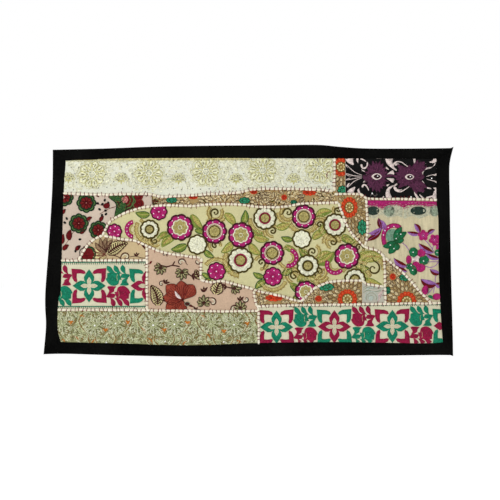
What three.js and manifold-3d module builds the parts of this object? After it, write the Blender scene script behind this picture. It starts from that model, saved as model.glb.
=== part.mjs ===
// An embroidered patchwork tapestry: seventeen patches of old embroidered cloth, pieced edge to edge
// around one long curved patch, with a soft braid couched along the seams and a folded dark border.
// It hangs against a wall from its top edge, and its loose cloth stands off the wall in shallow ripples.
// Millimetres. X runs to the viewer's right, Z up, and Y away from the viewer, into the wall.
// The origin is the middle of the top edge, on the back of the cloth, where the wall would be.
import * as THREE from "three";
import { mergeVertices } from "three/addons/utils/BufferGeometryUtils.js";
import Module from "manifold-3d";

const CLOTH = 2; // a patch: its embroidered cloth and the foundation it is sewn to
const BORDER = 3.2; // the border: a strip folded double
const BRAID_WIDTH = 6.4;
const BRAID_HEIGHT = 2.6;
const GAP = 0.3; // between pieces that touch
const HEADING = 48; // the top of the cloth, which lies flat on the wall
const DROP = 527; // from the top edge to the bottom edge
const STANDOFF = 2.5; // how far the bottom edge stands off the wall, between its ripples
// The ripples at the bottom edge: how far they swing, from one crest to the next, and their start.
const RIPPLES = [
  { swing: 1.5, length: 340, start: 0.8 },
  { swing: 1, length: 190, start: 2.1 },
];
const SHEET_WIDTH = 1056; // the plain sheet that every piece is cut from
const SHEET_HEIGHT = 576;
const SHEET_TOP = 24;
const CELL = 32; // the grid of the sheet's ripples
const CURVE_STEP = 14; // spacing of the points along a curved edge
const BRAID_STEP = 14;
const BRAID_LIFT = 0.4; // a braid lies this far above the patches, whose facets cut across the ripples
const SHARPEST = 0.08; // the narrowest corner that an outline grows to a full point, as a sine
const NEARLY_ONE = 0.5; // points of an outline closer than this are one point
const KNIFE_DEPTH = 40; // deep enough to cut through the cloth wherever it hangs

// The outer and inner edges of the border, each a run of points. Columns: x, z.
const EDGE_TOP = [[-489, -11], [-365, -8], [-231, -3], [-110, -1], [0, 0], [96, 1], [178, 1], [234, -4],
  [313, -8], [496, -7], [512, -4]];
const EDGE_RIGHT = [[512, -4], [507, -24], [502, -54], [503, -143], [506, -313], [510, -466], [511, -526]];
const EDGE_FOOT = [[511, -526], [486, -524], [229, -526], [-96, -528], [-306, -525], [-450, -521],
  [-512, -522]];
const EDGE_LEFT = [[-512, -522], [-506, -452], [-508, -404], [-507, -356], [-498, -236], [-490, -98],
  [-489, -11]];
const BAND_TOP = [[-458, -37], [-387, -34], [-254, -31], [116, -31], [471, -32]];
const BAND_RIGHT = [[471, -32], [471, -134], [476, -186], [476, -286], [480, -389], [487, -493]];
const BAND_FOOT = [[487, -493], [434, -496], [231, -493], [26, -495], [-146, -501], [-331, -496],
  [-470, -493]];
const BAND_LEFT = [[-470, -493], [-479, -452], [-476, -385], [-471, -368], [-467, -232], [-463, -111],
  [-458, -37]];

// The seams with a braid, in the order that the braids are laid. Columns: x, z.
const SEAMS = {
  ivory_side: [[215, -32], [215, -114]],
  ivory_foot: [[215, -114], [178, -111], [116, -109], [56, -109], [5, -111], [-19, -117], [-65, -120],
    [-155, -126], [-220, -128], [-254, -122], [-376, -123], [-463, -120]],
  damask_foot: [[215, -122], [252, -121], [281, -123], [295, -132], [341, -134], [404, -134], [471, -136]],
  centre_top: [[-364, -225], [-356, -208], [-343, -188], [-298, -165], [-242, -152], [-186, -150],
    [-140, -152], [-95, -147], [-49, -147], [-4, -150], [34, -154], [86, -154], [132, -146], [178, -144],
    [225, -143]],
  centre_side: [[225, -143], [232, -163], [246, -201], [259, -221], [277, -241], [289, -254]],
  centre_shoulder: [[289, -254], [321, -263], [339, -278]],
  centre_drop: [[339, -278], [340, -312], [341, -354]],
  centre_tail: [[341, -354], [312, -349], [292, -345], [284, -338]],
  arch: [[284, -338], [246, -337], [218, -340], [198, -342], [167, -356], [152, -369], [132, -390]],
  centre_foot: [[132, -390], [110, -385], [84, -377], [33, -366], [3, -357], [-43, -344], [-69, -339],
    [-94, -342], [-120, -336]],
  centre_notch: [[-120, -336], [-119, -312], [-117, -281]],
  centre_under: [[-117, -281], [-158, -276], [-210, -268], [-252, -252], [-280, -239], [-320, -234],
    [-364, -225]],
  blush_slant: [[-364, -225], [-387, -236], [-405, -254], [-416, -272], [-425, -287]],
  vine_side: [[294, -132], [296, -174], [297, -210], [294, -236], [289, -254]],
  gusset_slant: [[341, -280], [368, -303], [394, -326], [425, -362], [456, -394]],
  gusset_drop: [[341, -354], [342, -396]],
  tile_top: [[-469, -288], [-254, -287]],
  tile_side: [[-254, -253], [-254, -286], [-253, -411]],
  left_foot: [[-477, -411], [-371, -411], [-251, -412], [-96, -414], [25, -414]],
  brick_side: [[13, -362], [15, -377], [20, -401]],
  right_foot: [[20, -402], [129, -399], [231, -398], [342, -396], [480, -394]],
  middle_side: [[23, -402], [25, -414], [26, -495]],
};

// The cloth's distance off the wall, from nothing at the heading to its full ripples at the foot.
function sag(x, z) {
  const fall = THREE.MathUtils.clamp((-z - HEADING) / (DROP - HEADING), 0, 1);
  let off = STANDOFF;
  for (const { swing, length, start } of RIPPLES)
    off += swing * Math.sin((2 * Math.PI * x) / length + start);
  return off * fall;
}

// Pushes a piece that was laid out flat off the wall, as the cloth hangs.
function hang(geometry) {
  const points = geometry.getAttribute("position");
  for (let i = 0; i < points.count; i++)
    points.setY(i, points.getY(i) - sag(points.getX(i), points.getZ(i)));
  return geometry;
}

// A smooth edge through a run of points, sampled evenly; two points make a straight one.
function smooth(rows) {
  if (rows.length < 3) return rows;
  const curve = new THREE.SplineCurve(rows.map(([x, z]) => new THREE.Vector2(x, z)));
  const steps = Math.max(rows.length, Math.round(curve.getLength() / CURVE_STEP));
  return curve.getSpacedPoints(steps).map((p) => [p.x, p.y]);
}

const backwards = (rows) => [...rows].reverse();

// A closed outline from runs that follow on, dropping the points that two runs share.
function outline(...runs) {
  const points = runs.flat().map(([x, z]) => new THREE.Vector2(x, z));
  return points.filter((p, i) => p.distanceTo(points[(i + 1) % points.length]) > NEARLY_ONE);
}

// The outline moved outwards, so that what is cut by it stays a gap away.
function grown(points, by) {
  const way = THREE.ShapeUtils.isClockWise(points) ? 1 : -1;
  return points.map((p, i) => {
    const before = points[(i + points.length - 1) % points.length];
    const after = points[(i + 1) % points.length];
    const into = p.clone().sub(before).normalize();
    const away = after.clone().sub(p).normalize();
    const along = into.add(away).normalize();
    const spread = by / Math.max(SHARPEST, Math.abs(along.dot(away)));
    return new THREE.Vector2(p.x - along.y * way * spread, p.y + along.x * way * spread);
  });
}

const wasm = await Module();
wasm.setup();

function solid(geometry) {
  const bare = geometry.index ? geometry.toNonIndexed() : geometry.clone();
  bare.deleteAttribute("normal");
  bare.deleteAttribute("uv");
  const merged = mergeVertices(bare, 1e-4);
  return new wasm.Manifold(
    new wasm.Mesh({
      numProp: 3,
      vertProperties: merged.getAttribute("position").array,
      triVerts: new Uint32Array(merged.index.array),
    }),
  );
}

// The rippled sheet, one cloth thick, that a piece is cut from.
function sheet(thickness) {
  const flat = new THREE.BoxGeometry(
    SHEET_WIDTH, thickness, SHEET_HEIGHT,
    SHEET_WIDTH / CELL, 1, SHEET_HEIGHT / CELL,
  );
  flat.translate(0, -thickness / 2, SHEET_TOP - SHEET_HEIGHT / 2);
  return solid(hang(flat));
}

// The knife for an outline: a prism right through the cloth.
function knife(points) {
  const options = { depth: KNIFE_DEPTH, bevelEnabled: false };
  const prism = new THREE.ExtrudeGeometry(new THREE.Shape(points), options);
  prism.rotateX(Math.PI / 2).translate(0, KNIFE_DEPTH / 2, 0);
  return solid(prism);
}

// A scrap left beyond a neighbour is thrown away: a piece is the largest part of its cut.
function largest(cut) {
  return cut.decompose().reduce((a, b) => (b.volume() > a.volume() ? b : a));
}

function geometryOf(piece) {
  const { vertProperties, triVerts } = piece.getMesh();
  const geometry = new THREE.BufferGeometry();
  geometry.setAttribute("position", new THREE.BufferAttribute(new Float32Array(vertProperties), 3));
  geometry.setIndex(new THREE.BufferAttribute(new Uint32Array(triVerts), 1));
  geometry.computeVertexNormals();
  return geometry;
}

function cloth(colour, roughness = 0.92) {
  return new THREE.MeshStandardMaterial({ color: colour, roughness, metalness: 0 });
}

const MATERIALS = {
  black: cloth("#0c0c0b", 0.95),
  ivory: cloth("#e2decf"),
  vine: cloth("#b0966f"),
  lime: cloth("#c8c389"),
  blush: cloth("#cdbeb2"),
  fawn: cloth("#c6a98f"),
  cream: cloth("#dad2b0"),
  rose: cloth("#c9a491"),
  sage: cloth("#a5a585"),
  bluish: cloth("#a8adab"),
  damask: cloth("#3a1d35"),
  crinkle: cloth("#cfc4a6"),
  braid: cloth("#efe9dc", 0.85),
};

// The pieces in the order they are laid: each is trimmed by those before it, so only the uppermost of
// two neighbours follows their seam, and the other runs on beneath.
const curves = Object.fromEntries(Object.entries(SEAMS).map(([name, rows]) => [name, smooth(rows)]));
const PIECES = [
  { name: "border_top", material: "black", thickness: BORDER,
    outline: outline(smooth(EDGE_TOP), backwards(smooth(BAND_TOP))) },
  { name: "border_bottom", material: "black", thickness: BORDER,
    outline: outline(smooth(EDGE_FOOT), backwards(smooth(BAND_FOOT))) },
  { name: "border_left", material: "black", thickness: BORDER,
    outline: outline(smooth(EDGE_LEFT), backwards(smooth(BAND_LEFT))) },
  { name: "border_right", material: "black", thickness: BORDER,
    outline: outline(smooth(EDGE_RIGHT), backwards(smooth(BAND_RIGHT))) },
  { name: "patch_centre", material: "lime",
    outline: outline(curves.centre_top, curves.centre_side, curves.centre_shoulder, curves.centre_drop,
      curves.centre_tail, curves.arch, curves.centre_foot, curves.centre_notch, curves.centre_under) },
  { name: "patch_ivory", material: "ivory",
    outline: outline([[-475, -20], [215, -20]], curves.ivory_foot, [[-475, -120]]) },
  { name: "patch_vine_strip", material: "vine",
    outline: outline([[-244, -100], [219, -100], [223, -162], [-240, -162]]) },
  { name: "patch_vine_column", material: "vine",
    outline: outline([[210, -20], [242, -20], [242, -121.5], [210, -121.5]]) },
  { name: "patch_damask", material: "damask",
    outline: outline([[240, -20], [488, -20], [488, -136]], backwards(curves.damask_foot)) },
  { name: "patch_vine_side", material: "vine",
    outline: outline([[214, -110], [294, -110]], curves.vine_side, [[240, -254]]) },
  { name: "patch_blush", material: "blush",
    outline: outline([[-475, -110], [-243, -110], [-239, -170], [-320, -228]], curves.blush_slant,
      [[-475, -288]]) },
  { name: "patch_fawn", material: "fawn",
    outline: outline([[-430, -220], [-254, -220], [-254, -287], [-430, -287.5]]) },
  { name: "patch_tile_left", material: "cream",
    outline: outline([[-485, -288], [-254, -287], [-253, -411], [-485, -411]]) },
  { name: "patch_brick", material: "rose",
    outline: outline([[-256, -240], [-100, -270], [13, -340]], curves.brick_side, [[25, -414]],
      backwards(curves.left_foot).filter(([x]) => x > -254)) },
  { name: "patch_vine_foot", material: "vine",
    outline: outline([[10, -350], [140, -380], [136, -399], [20, -402]]) },
  { name: "patch_vine_arch", material: "vine",
    outline: outline([[128, -330], [284, -330], [284, -397], [128, -399.5]]) },
  { name: "patch_bluish", material: "bluish",
    outline: outline([[280, -330], [341.5, -335], [342, -396], [280, -397]]) },
  { name: "patch_gusset", material: "vine",
    outline: outline([[338, -270]], curves.gusset_slant, [[342, -396]]) },
  { name: "patch_crinkle", material: "crinkle",
    outline: outline([[280, -125], [488, -125], [488, -394], [440, -396], [280, -260]]) },
  { name: "patch_sage", material: "sage",
    outline: outline([[-485, -405], [25, -405], [26, -508], [-485, -508]]) },
  { name: "patch_tile_right", material: "cream",
    outline: outline(curves.right_foot, [[496, -394], [496, -508], [22, -508]]) },
];

const tapestry = new THREE.Group();

function add(name, geometry, material) {
  const mesh = new THREE.Mesh(geometry, MATERIALS[material]);
  mesh.name = name;
  tapestry.add(mesh);
}

const sheets = { [CLOTH]: sheet(CLOTH), [BORDER]: sheet(BORDER) };
const laid = [];
for (const { name, material, thickness = CLOTH, outline: points } of PIECES) {
  let cut = sheets[thickness].intersect(knife(points));
  for (const neighbour of laid) cut = cut.subtract(neighbour);
  add(name, geometryOf(largest(cut)), material);
  laid.push(knife(grown(points, GAP)));
}

// A braid's section: flat beneath, crowned above. Its x is the height and its y the width.
function braidSection() {
  const half = BRAID_WIDTH / 2;
  const rows = [[0, -0.8], [0.6, -1], [1, 0], [0.6, 1], [0, 0.8]];
  return new THREE.Shape(rows.map(([up, across]) => new THREE.Vector2(up * BRAID_HEIGHT, across * half)));
}

// The way that a seam's braid takes, in even steps.
function braidWay(rows) {
  const seam = new THREE.SplineCurve(rows.map(([x, z]) => new THREE.Vector2(x, z)));
  return seam.getSpacedPoints(Math.max(2, Math.round(seam.getLength() / BRAID_STEP)));
}

function braid(way) {
  const points = way.map((p) => new THREE.Vector3(p.x, -CLOTH - BRAID_LIFT, p.y));
  const extrudePath = new THREE.CatmullRomCurve3(points);
  return hang(new THREE.ExtrudeGeometry(braidSection(), { steps: way.length - 1, extrudePath }));
}

// The ground that a braid covers, as an outline.
function ribbon(way, half) {
  const side = (by) => way.map((p, i) => {
    const before = way[Math.max(0, i - 1)];
    const after = way[Math.min(way.length - 1, i + 1)];
    const along = after.clone().sub(before).normalize();
    return new THREE.Vector2(p.x - along.y * by, p.y + along.x * by);
  });
  return grown([...side(half), ...side(-half).reverse()], GAP);
}

// Each braid stops at the border and at the braids laid before it, as their ends are tucked away.
const inTheWay = PIECES.filter(({ thickness }) => thickness === BORDER)
  .map(({ outline: points }) => knife(grown(points, GAP)));
for (const [name, rows] of Object.entries(SEAMS)) {
  const way = braidWay(rows);
  let cut = solid(braid(way));
  for (const neighbour of inTheWay) cut = cut.subtract(neighbour);
  add("braid_" + name, geometryOf(largest(cut)), "braid");
  inTheWay.push(knife(ribbon(way, BRAID_WIDTH / 2)));
}

export default tapestry;
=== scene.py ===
"""An embroidered patchwork tapestry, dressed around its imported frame.

Each patch is a thin puckered sheet with raised needlework on it, each seam carries a couched braid, and
the border is black cotton folded double. Flat sizes and places are in millimetres, x to the viewer's
right and z up, and "up" is a height above the cloth. Meshes are in metres, in the frame's own place.
"""
import math

import bpy
import numpy as np
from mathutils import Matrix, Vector
from mathutils.geometry import delaunay_2d_cdt

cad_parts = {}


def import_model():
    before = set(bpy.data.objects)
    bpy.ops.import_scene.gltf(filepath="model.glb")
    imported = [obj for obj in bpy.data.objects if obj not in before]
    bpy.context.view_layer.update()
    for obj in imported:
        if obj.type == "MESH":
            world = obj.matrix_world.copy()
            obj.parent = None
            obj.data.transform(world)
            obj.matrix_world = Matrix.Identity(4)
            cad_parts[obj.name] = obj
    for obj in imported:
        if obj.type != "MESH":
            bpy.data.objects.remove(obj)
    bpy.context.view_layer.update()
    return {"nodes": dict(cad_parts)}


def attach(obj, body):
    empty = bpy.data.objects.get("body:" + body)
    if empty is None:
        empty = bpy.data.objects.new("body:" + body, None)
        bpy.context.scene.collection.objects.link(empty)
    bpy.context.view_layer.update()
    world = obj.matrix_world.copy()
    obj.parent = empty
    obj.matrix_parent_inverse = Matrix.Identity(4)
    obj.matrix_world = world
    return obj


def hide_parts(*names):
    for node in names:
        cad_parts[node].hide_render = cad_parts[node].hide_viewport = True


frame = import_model()

MM = 0.001

# The hang of the cloth, as in the frame: flat behind the heading, then rippling off the wall.
CLOTH = 2.0
BORDER = 3.2
BRAID_HEIGHT = 2.6
BRAID_LIFT = 0.4
HEADING = 48.0
DROP = 527.0
STANDOFF = 2.5
RIPPLES = [(1.5, 340.0, 0.8), (1.0, 190.0, 2.1)]  # swing, length, start

# The cloth's mesh and its puckers.
GRID = 2.5  # step of the table of heights that each patch keeps
MARGIN = 15.0  # how far that table goes past the outline
SPACING = 4.2  # between the points of a cloth's mesh
PUFF = 0.55  # how far a patch stands out between its seams
SEAM_SINK = 0.45  # how far its edge is drawn in by the stitches
PUFF_REACH = 16.0  # how slowly the puff grows, going in from a seam
SINK_REACH = 5.0  # how slowly the sinking fades
PUCKER = 0.3  # height of the puckers at the couching stitches
PUCKER_REACH = 7.0  # how slowly they fade
UNEVEN = 0.3  # height of the unevenness away from the seams
UNEVEN_SIZE = 38  # of its features
COUCHING = 10.5  # from one couching stitch to the next
CRINKLE = 11.5  # from one fold of the crinkled cloth to the next
TUCK = 1.6  # how far the border laps over the patches
MITRE_LAP = 0.5  # how far its strips are let out at the mitres
MIDDLE = (0, -264)  # of the whole tapestry

# Heights of needlework above the cloth.
SUNK = -0.3
LOW = 0.45
MID = 0.75
HIGH = 1.1
TOP = 1.4
EDGE = 0.35  # how steep a stitch's sides are
STEP = 1.8  # between the stations of a line of stitches
THREAD = 0.55  # from one strand to the next

# The grain of the cloths.
WEAVE = 0.62  # from one warp thread to the one after next
TWILL = 0.9  # from one twill line of the border to the next
YARN = 0.9  # from one yarn of the braid to the next
MOTTLE = 0.16  # how far the cotton's colour strays, as a share of it: its uneven washing, and the painted shade of its weave


def sag(x, z):
    """The cloth's distance off the wall."""
    fall = np.clip((-z - HEADING) / (DROP - HEADING), 0, 1)
    swells = [swing * np.sin(2 * np.pi * x / length + start) for swing, length, start in RIPPLES]
    return (STANDOFF + sum(swells)) * fall


def in_place(x, z, up):
    """Points of the flat work, hung up, in metres."""
    return np.stack([x, -(sag(x, z) + up), z], -1) * MM


def waves(x, z, scale, seed):
    """Smooth unevenness from about -1 to 1, with features of about that scale."""
    rng = np.random.default_rng(seed)
    total = 0
    for _ in range(6):
        angle, phase, stretch = rng.uniform(0, 2 * np.pi), rng.uniform(0, 2 * np.pi), rng.uniform(0.7, 1.5)
        along = x * np.cos(angle) + z * np.sin(angle)
        total = total + np.sin(2 * np.pi * along / (scale * stretch) + phase)
    return total / 3


# Lines and outlines, each an array of rows x, z.


def smooth_line(points, step=STEP):
    """A smooth line through some points, with even steps."""
    p = np.asarray(points, float)
    if len(p) > 2:
        before = np.vstack([2 * p[0] - p[1], p[:-1]])[:-1]
        after = np.vstack([p[2:], 2 * p[-1] - p[-2]])
        t = np.linspace(0, 1, 9)[:-1, None, None]
        a, b = p[:-1], p[1:]
        line = 0.5 * (2 * a + (b - before) * t + (2 * before - 5 * a + 4 * b - after) * t**2
                      + (3 * a - before - 3 * b + after) * t**3)
        p = np.vstack([line.transpose(1, 0, 2).reshape(-1, 2), p[-1]])
    return even(p, step)


def run_of(p):
    """How far along a line each of its points lies."""
    return np.concatenate([[0], np.cumsum(np.linalg.norm(np.diff(p, axis=0), axis=1))])


def even(p, step):
    """A line's points set at even steps."""
    run = run_of(p)
    at = np.linspace(0, run[-1], max(2, round(run[-1] / step) + 1))
    return np.stack([np.interp(at, run, p[:, 0]), np.interp(at, run, p[:, 1])], 1)


def arc(x, z, r, start, stop, step=STEP):
    """Part of a circle, from one angle to another, in degrees."""
    n = max(3, round(abs(stop - start) * np.pi / 180 * r / step) + 1)
    t = np.radians(np.linspace(start, stop, n))
    return np.stack([x + r * np.cos(t), z + r * np.sin(t)], 1)


def scallops(x, z, r, lobes=0, bite=0.0, n=None):
    """A closed round of lobes: bite is how deep the notches are, as a share of the radius."""
    n = n or max(10, lobes * 6, round(2 * np.pi * r / STEP))
    t = np.linspace(0, 2 * np.pi, n, endpoint=False)
    reach = r * (1 - bite * (1 - np.abs(np.cos(lobes * t / 2)) ** 0.6)) if lobes else r
    return np.stack([x + reach * np.cos(t), z + reach * np.sin(t)], 1)


def curl(x, z, r, turns=1.5, start=0.0, hand=1, tail=0.0):
    """A scroll that winds in towards x, z, from a tail as long as given."""
    t = np.linspace(0, 1, max(10, round(turns * r * 3 / STEP)))
    angle = np.radians(start) + hand * 2 * np.pi * turns * t
    reach = r * (1 - 0.82 * t)
    line = np.stack([x + reach * np.cos(angle), z + reach * np.sin(angle)], 1)
    if tail:
        away = np.array([np.sin(angle[0]), -np.cos(angle[0])]) * hand * tail
        line = np.vstack([line[0] + away + (line[0] - [x, z]) * 0.35, line[0] + away * 0.5, line])
    return even(line, STEP)


def side_of(line, by):
    """A line moved to its left by a distance, or by one for each point."""
    along = np.gradient(line, axis=0)
    along /= np.maximum(np.linalg.norm(along, axis=1), 1e-9)[:, None]
    return line + np.stack([-along[:, 1], along[:, 0]], 1) * np.reshape(by, (-1, 1))


def blade(x, z, x1, z1, width, bend=0.0, fat=0.8):
    """A leaf or petal from its base to its tip: its two edges and its midrib. The bend is a share."""
    base, tip = np.array([x, z], float), np.array([x1, z1], float)
    along = tip - base
    length = np.linalg.norm(along)
    t = np.linspace(0, 1, max(6, round(length / STEP) + 1))
    aside = np.array([-along[1], along[0]])
    rib = base + along * t[:, None] + aside * (bend * np.sin(np.pi * t))[:, None]
    half = width / 2 * np.sin(np.pi * np.clip(t, 0.02, 0.985) ** fat) ** 0.8 + 0.08
    return side_of(rib, half), side_of(rib, -half), rib


def around(x, z, r, degrees):
    """The point at a distance from x, z in a direction."""
    return x + r * math.cos(math.radians(degrees)), z + r * math.sin(math.radians(degrees))


def ray(x, z, inner, outer, degrees):
    """Two points in one direction from x, z."""
    return np.array([around(x, z, inner, degrees), around(x, z, outer, degrees)])


def placed(points, x, z, turn=0.0):
    """A motif's points, turned and moved to x, z."""
    p = np.asarray(points, float)
    c, s = math.cos(math.radians(turn)), math.sin(math.radians(turn))
    return p @ np.array([[c, s], [-s, c]]) + [x, z]


def area_of(loop):
    return 0.5 * float(np.sum(loop[:, 0] * np.roll(loop[:, 1], -1) - np.roll(loop[:, 0], -1) * loop[:, 1]))


def from_edge(loop, x, z):
    """For each point, how far it is inside the outline, and how far round the outline it lies."""
    nearest, where = np.full(x.shape, 1e9), np.zeros(x.shape)
    inside = np.zeros(x.shape, bool)
    run = 0.0
    for a, b in zip(loop, np.roll(loop, -1, axis=0)):
        d = b - a
        length = np.hypot(*d)
        t = np.clip(((x - a[0]) * d[0] + (z - a[1]) * d[1]) / length**2, 0, 1)
        away = np.hypot(x - a[0] - t * d[0], z - a[1] - t * d[1])
        closer = away < nearest
        nearest, where = np.where(closer, away, nearest), np.where(closer, run + t * length, where)
        if a[1] != b[1]:
            crosses = (a[1] > z) != (b[1] > z)
            inside ^= crosses & (x < a[0] + (z - a[1]) / (b[1] - a[1]) * d[0])
        run += length
    return np.where(inside, nearest, -nearest), where


SAME_POINT = 0.4  # outline points nearer than this are taken as one


def outline_of(node):
    """The outline of a packed sheet, anticlockwise, from the rim of its front faces."""
    mesh = frame["nodes"][node].data
    ids = {}
    same = [ids.setdefault(tuple(round(c / MM, 2) for c in v.co), len(ids)) for v in mesh.vertices]
    points = np.array(list(ids))[:, [0, 2]]
    edges = set()
    for face in mesh.polygons:
        if face.normal.y < -0.5:
            corners = [same[v] for v in face.vertices]
            edges.update(zip(corners, corners[1:] + corners[:1]))
    rim = {a: b for a, b in edges if (b, a) not in edges}
    loop = [min(rim)]
    while rim:
        onward = rim.pop(loop[-1])
        if onward not in rim and rim:
            onward = min(rim, key=lambda b: np.hypot(*(points[b] - points[onward])))
        loop.append(onward)
    loop = points[loop[:-1]]
    return loop[np.linalg.norm(loop - np.roll(loop, 1, axis=0), axis=1) > SAME_POINT]


NEAR_CROWN = 0.97  # the share of a braid's height over which a point is on its crown
SAME_STATION = 2.0  # crown points nearer than this belong to one station


def ridge_of(node):
    """The crown line of a packed braid, from end to end."""
    mesh = frame["nodes"][node].data
    p = np.unique(np.round([v.co[:] for v in mesh.vertices], 5), axis=0) / MM
    crown = CLOTH + BRAID_LIFT + NEAR_CROWN * BRAID_HEIGHT
    left = [v for v in p[-p[:, 1] - sag(p[:, 0], p[:, 2]) > crown][:, [0, 2]]]
    middle = np.mean(left, axis=0)
    line = [left.pop(int(np.argmax([np.hypot(*(v - middle)) for v in left])))]
    while left:
        line.append(left.pop(int(np.argmin([np.hypot(*(v - line[-1])) for v in left]))))
        if np.hypot(*(line[-1] - line[-2])) < SAME_STATION and len(line) > 2:
            line.pop()
    return np.array(line)


class Skein:
    """The stitches of one thread, gathered into one mesh."""

    def __init__(self):
        self.points, self.faces, self.across, self.count = [], [], [], 0

    def add(self, points, faces, across):
        self.points.append(points)
        self.across.append(across)
        self.faces += [[i + self.count for i in face] for face in faces]
        self.count += len(points)


SKEINS = {}


def strip_faces(n, ribs, wrap):
    """The faces of a closed strip of n stations with its crown and flat back."""
    wide = ribs + 1
    at = lambda i, j: (i % n) * wide + j
    faces = []
    for i in range(n if wrap else n - 1):
        faces += [(at(i, j), at(i + 1, j), at(i + 1, j + 1), at(i, j + 1)) for j in range(ribs)]
        faces.append((at(i, ribs), at(i + 1, ribs), at(i + 1, 0), at(i, 0)))
    if not wrap:
        faces.append([at(0, j) for j in range(wide)])
        faces.append([at(n - 1, j) for j in reversed(range(wide))])
    return faces


class Patch:
    """One patch of cloth, and where the needlework on it goes."""

    def __init__(self, node, group, seed, crinkle=0.0, calm=1.0):
        self.node, self.group, self.seed = node, group, seed
        self.outline = outline_of(node)
        self.low = self.outline.min(0) - MARGIN
        self.high = self.outline.max(0) + MARGIN
        xs = np.arange(self.low[0], self.high[0] + GRID, GRID)
        zs = np.arange(self.low[1], self.high[1] + GRID, GRID)
        x, z = np.meshgrid(xs, zs, indexing="ij")
        self.deep, along = from_edge(self.outline, x, z)
        d = np.maximum(self.deep, 0)
        drawn = np.exp(-d / PUCKER_REACH)
        self.lift = CLOTH + PUFF * (1 - np.exp(-d / PUFF_REACH)) - SEAM_SINK * np.exp(-d / SINK_REACH)
        self.lift += PUCKER * calm * drawn * np.sin(2 * np.pi * along / COUCHING)
        self.lift += UNEVEN * calm * waves(x, z, UNEVEN_SIZE, seed) * (1 - drawn)
        if crinkle:
            bent = x + 6 * waves(x, z, 150, seed + 1)
            folds = np.sin(2 * np.pi * bent / CRINKLE + 2.2 * waves(x, z * 0.3, 60, seed + 2))
            self.lift += crinkle * folds * (1 - drawn)

    def _read(self, table, x, z):
        u = np.clip((x - self.low[0]) / GRID, 0, table.shape[0] - 1.001)
        v = np.clip((z - self.low[1]) / GRID, 0, table.shape[1] - 1.001)
        i, j = u.astype(int), v.astype(int)
        u, v = u - i, v - j
        return ((table[i, j] * (1 - u) + table[i + 1, j] * u) * (1 - v)
                + (table[i, j + 1] * (1 - u) + table[i + 1, j + 1] * u) * v)

    def depth(self, p):
        return self._read(self.deep, p[..., 0], p[..., 1])

    def height(self, p):
        return self._read(self.lift, p[..., 0], p[..., 1])

    def _held_in(self, middle, p):
        """Points drawn back towards the middle line where they cross the patch's edge."""
        out = self.depth(p) < 0
        if not out.any():
            return p
        low, high = np.zeros(len(p)), np.ones(len(p))
        for _ in range(6):
            t = (low + high) / 2
            fits = self.depth(middle + (p - middle) * t[:, None]) > 0
            low, high = np.where(fits, t, low), np.where(fits, high, t)
        return np.where(out[:, None], middle + (p - middle) * low[:, None], p)

    def satin(self, thread, a, b, up=MID, ribs=3, closed=False, strand=None, crown="round"):
        """Stitches laid from edge to edge. The crown is round, flat, or full to a flower's heart."""
        a, b = np.asarray(a, float), np.asarray(b, float)
        if area_of(np.vstack([a, b[::-1]])) < 0:
            a, b = b, a
        if closed:
            a, b = np.vstack([a, a[:1]]), np.vstack([b, b[:1]])
        middle = (a + b) / 2
        inside = self.depth(middle) > 0.2
        if not inside.any():
            return
        a, b = self._held_in(middle, a), self._held_in(middle, b)
        if inside.all():
            runs = [(0, len(a))]
        else:
            closed = False
            change = np.flatnonzero(np.diff(np.concatenate([[0], inside.astype(int), [0]])))
            runs = list(zip(change[::2], change[1::2]))
        for start, stop in runs:
            if stop - start >= 2:
                self._lay(thread, a[start:stop], b[start:stop], up, ribs, closed, strand, crown)

    def _lay(self, thread, a, b, up, ribs, closed, strand, crown):
        if closed:
            a, b = a[:-1], b[:-1]
        inner = np.linspace(0, 1, ribs)
        width = np.linalg.norm(b - a, axis=1)[:, None]
        edge = np.clip(EDGE / np.maximum(width, 0.01), 0.02, 0.22)
        share = np.hstack([0 * width, edge + (1 - 2 * edge) * inner, 1 + 0 * width])
        p = a[:, None] * (1 - share)[..., None] + b[:, None] * share[..., None]
        rise = {"round": 0.78 + 0.22 * np.sin(np.pi * inner), "flat": 1 + 0 * inner,
                "full": 1 - 0.25 * inner**3}
        rise = np.concatenate([[crown == "full"], rise[crown], [0]])
        heights = SUNK + (up - SUNK) * np.clip(width / 1.2, 0.4, 1) * rise
        run = run_of((a + b) / 2)[:, None]
        across = 0.8 * run + 0.9 * width * share if strand == "along" else run + 0 * share
        self._gather(thread, p.reshape(-1, 2), heights.ravel(), across.ravel(),
                     strip_faces(len(a), ribs + 1, closed))

    def _gather(self, thread, p, heights, across, faces):
        up = self.height(p) + heights
        skein = SKEINS.setdefault((self.group, thread), Skein())
        skein.add(in_place(p[:, 0], p[:, 1], up), faces, across)

    def line(self, thread, path, width=1.3, up=MID, closed=False, taper=False):
        """Stem or chain stitch along a path."""
        half = np.full(len(path), width / 2)
        if taper:
            half *= np.sin(np.pi * np.linspace(0.06, 0.94, len(path))) ** 0.5
        if closed:
            path = np.vstack([path[-1], path, path[0]])
            half = np.concatenate([half[-1:], half, half[:1]])
            a, b = side_of(path, half)[1:-1], side_of(path, -half)[1:-1]
        else:
            a, b = side_of(path, half), side_of(path, -half)
        self.satin(thread, a, b, up, ribs=2, closed=closed, strand="along", crown="flat")

    def disc(self, thread, rim, centre=None, up=MID):
        """A filled round, its stitches running in to the centre."""
        centre = rim.mean(0) if centre is None else np.asarray(centre, float)
        self.satin(thread, centre + (rim - centre) * 0.02, rim, up, closed=True, crown="full")

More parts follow.
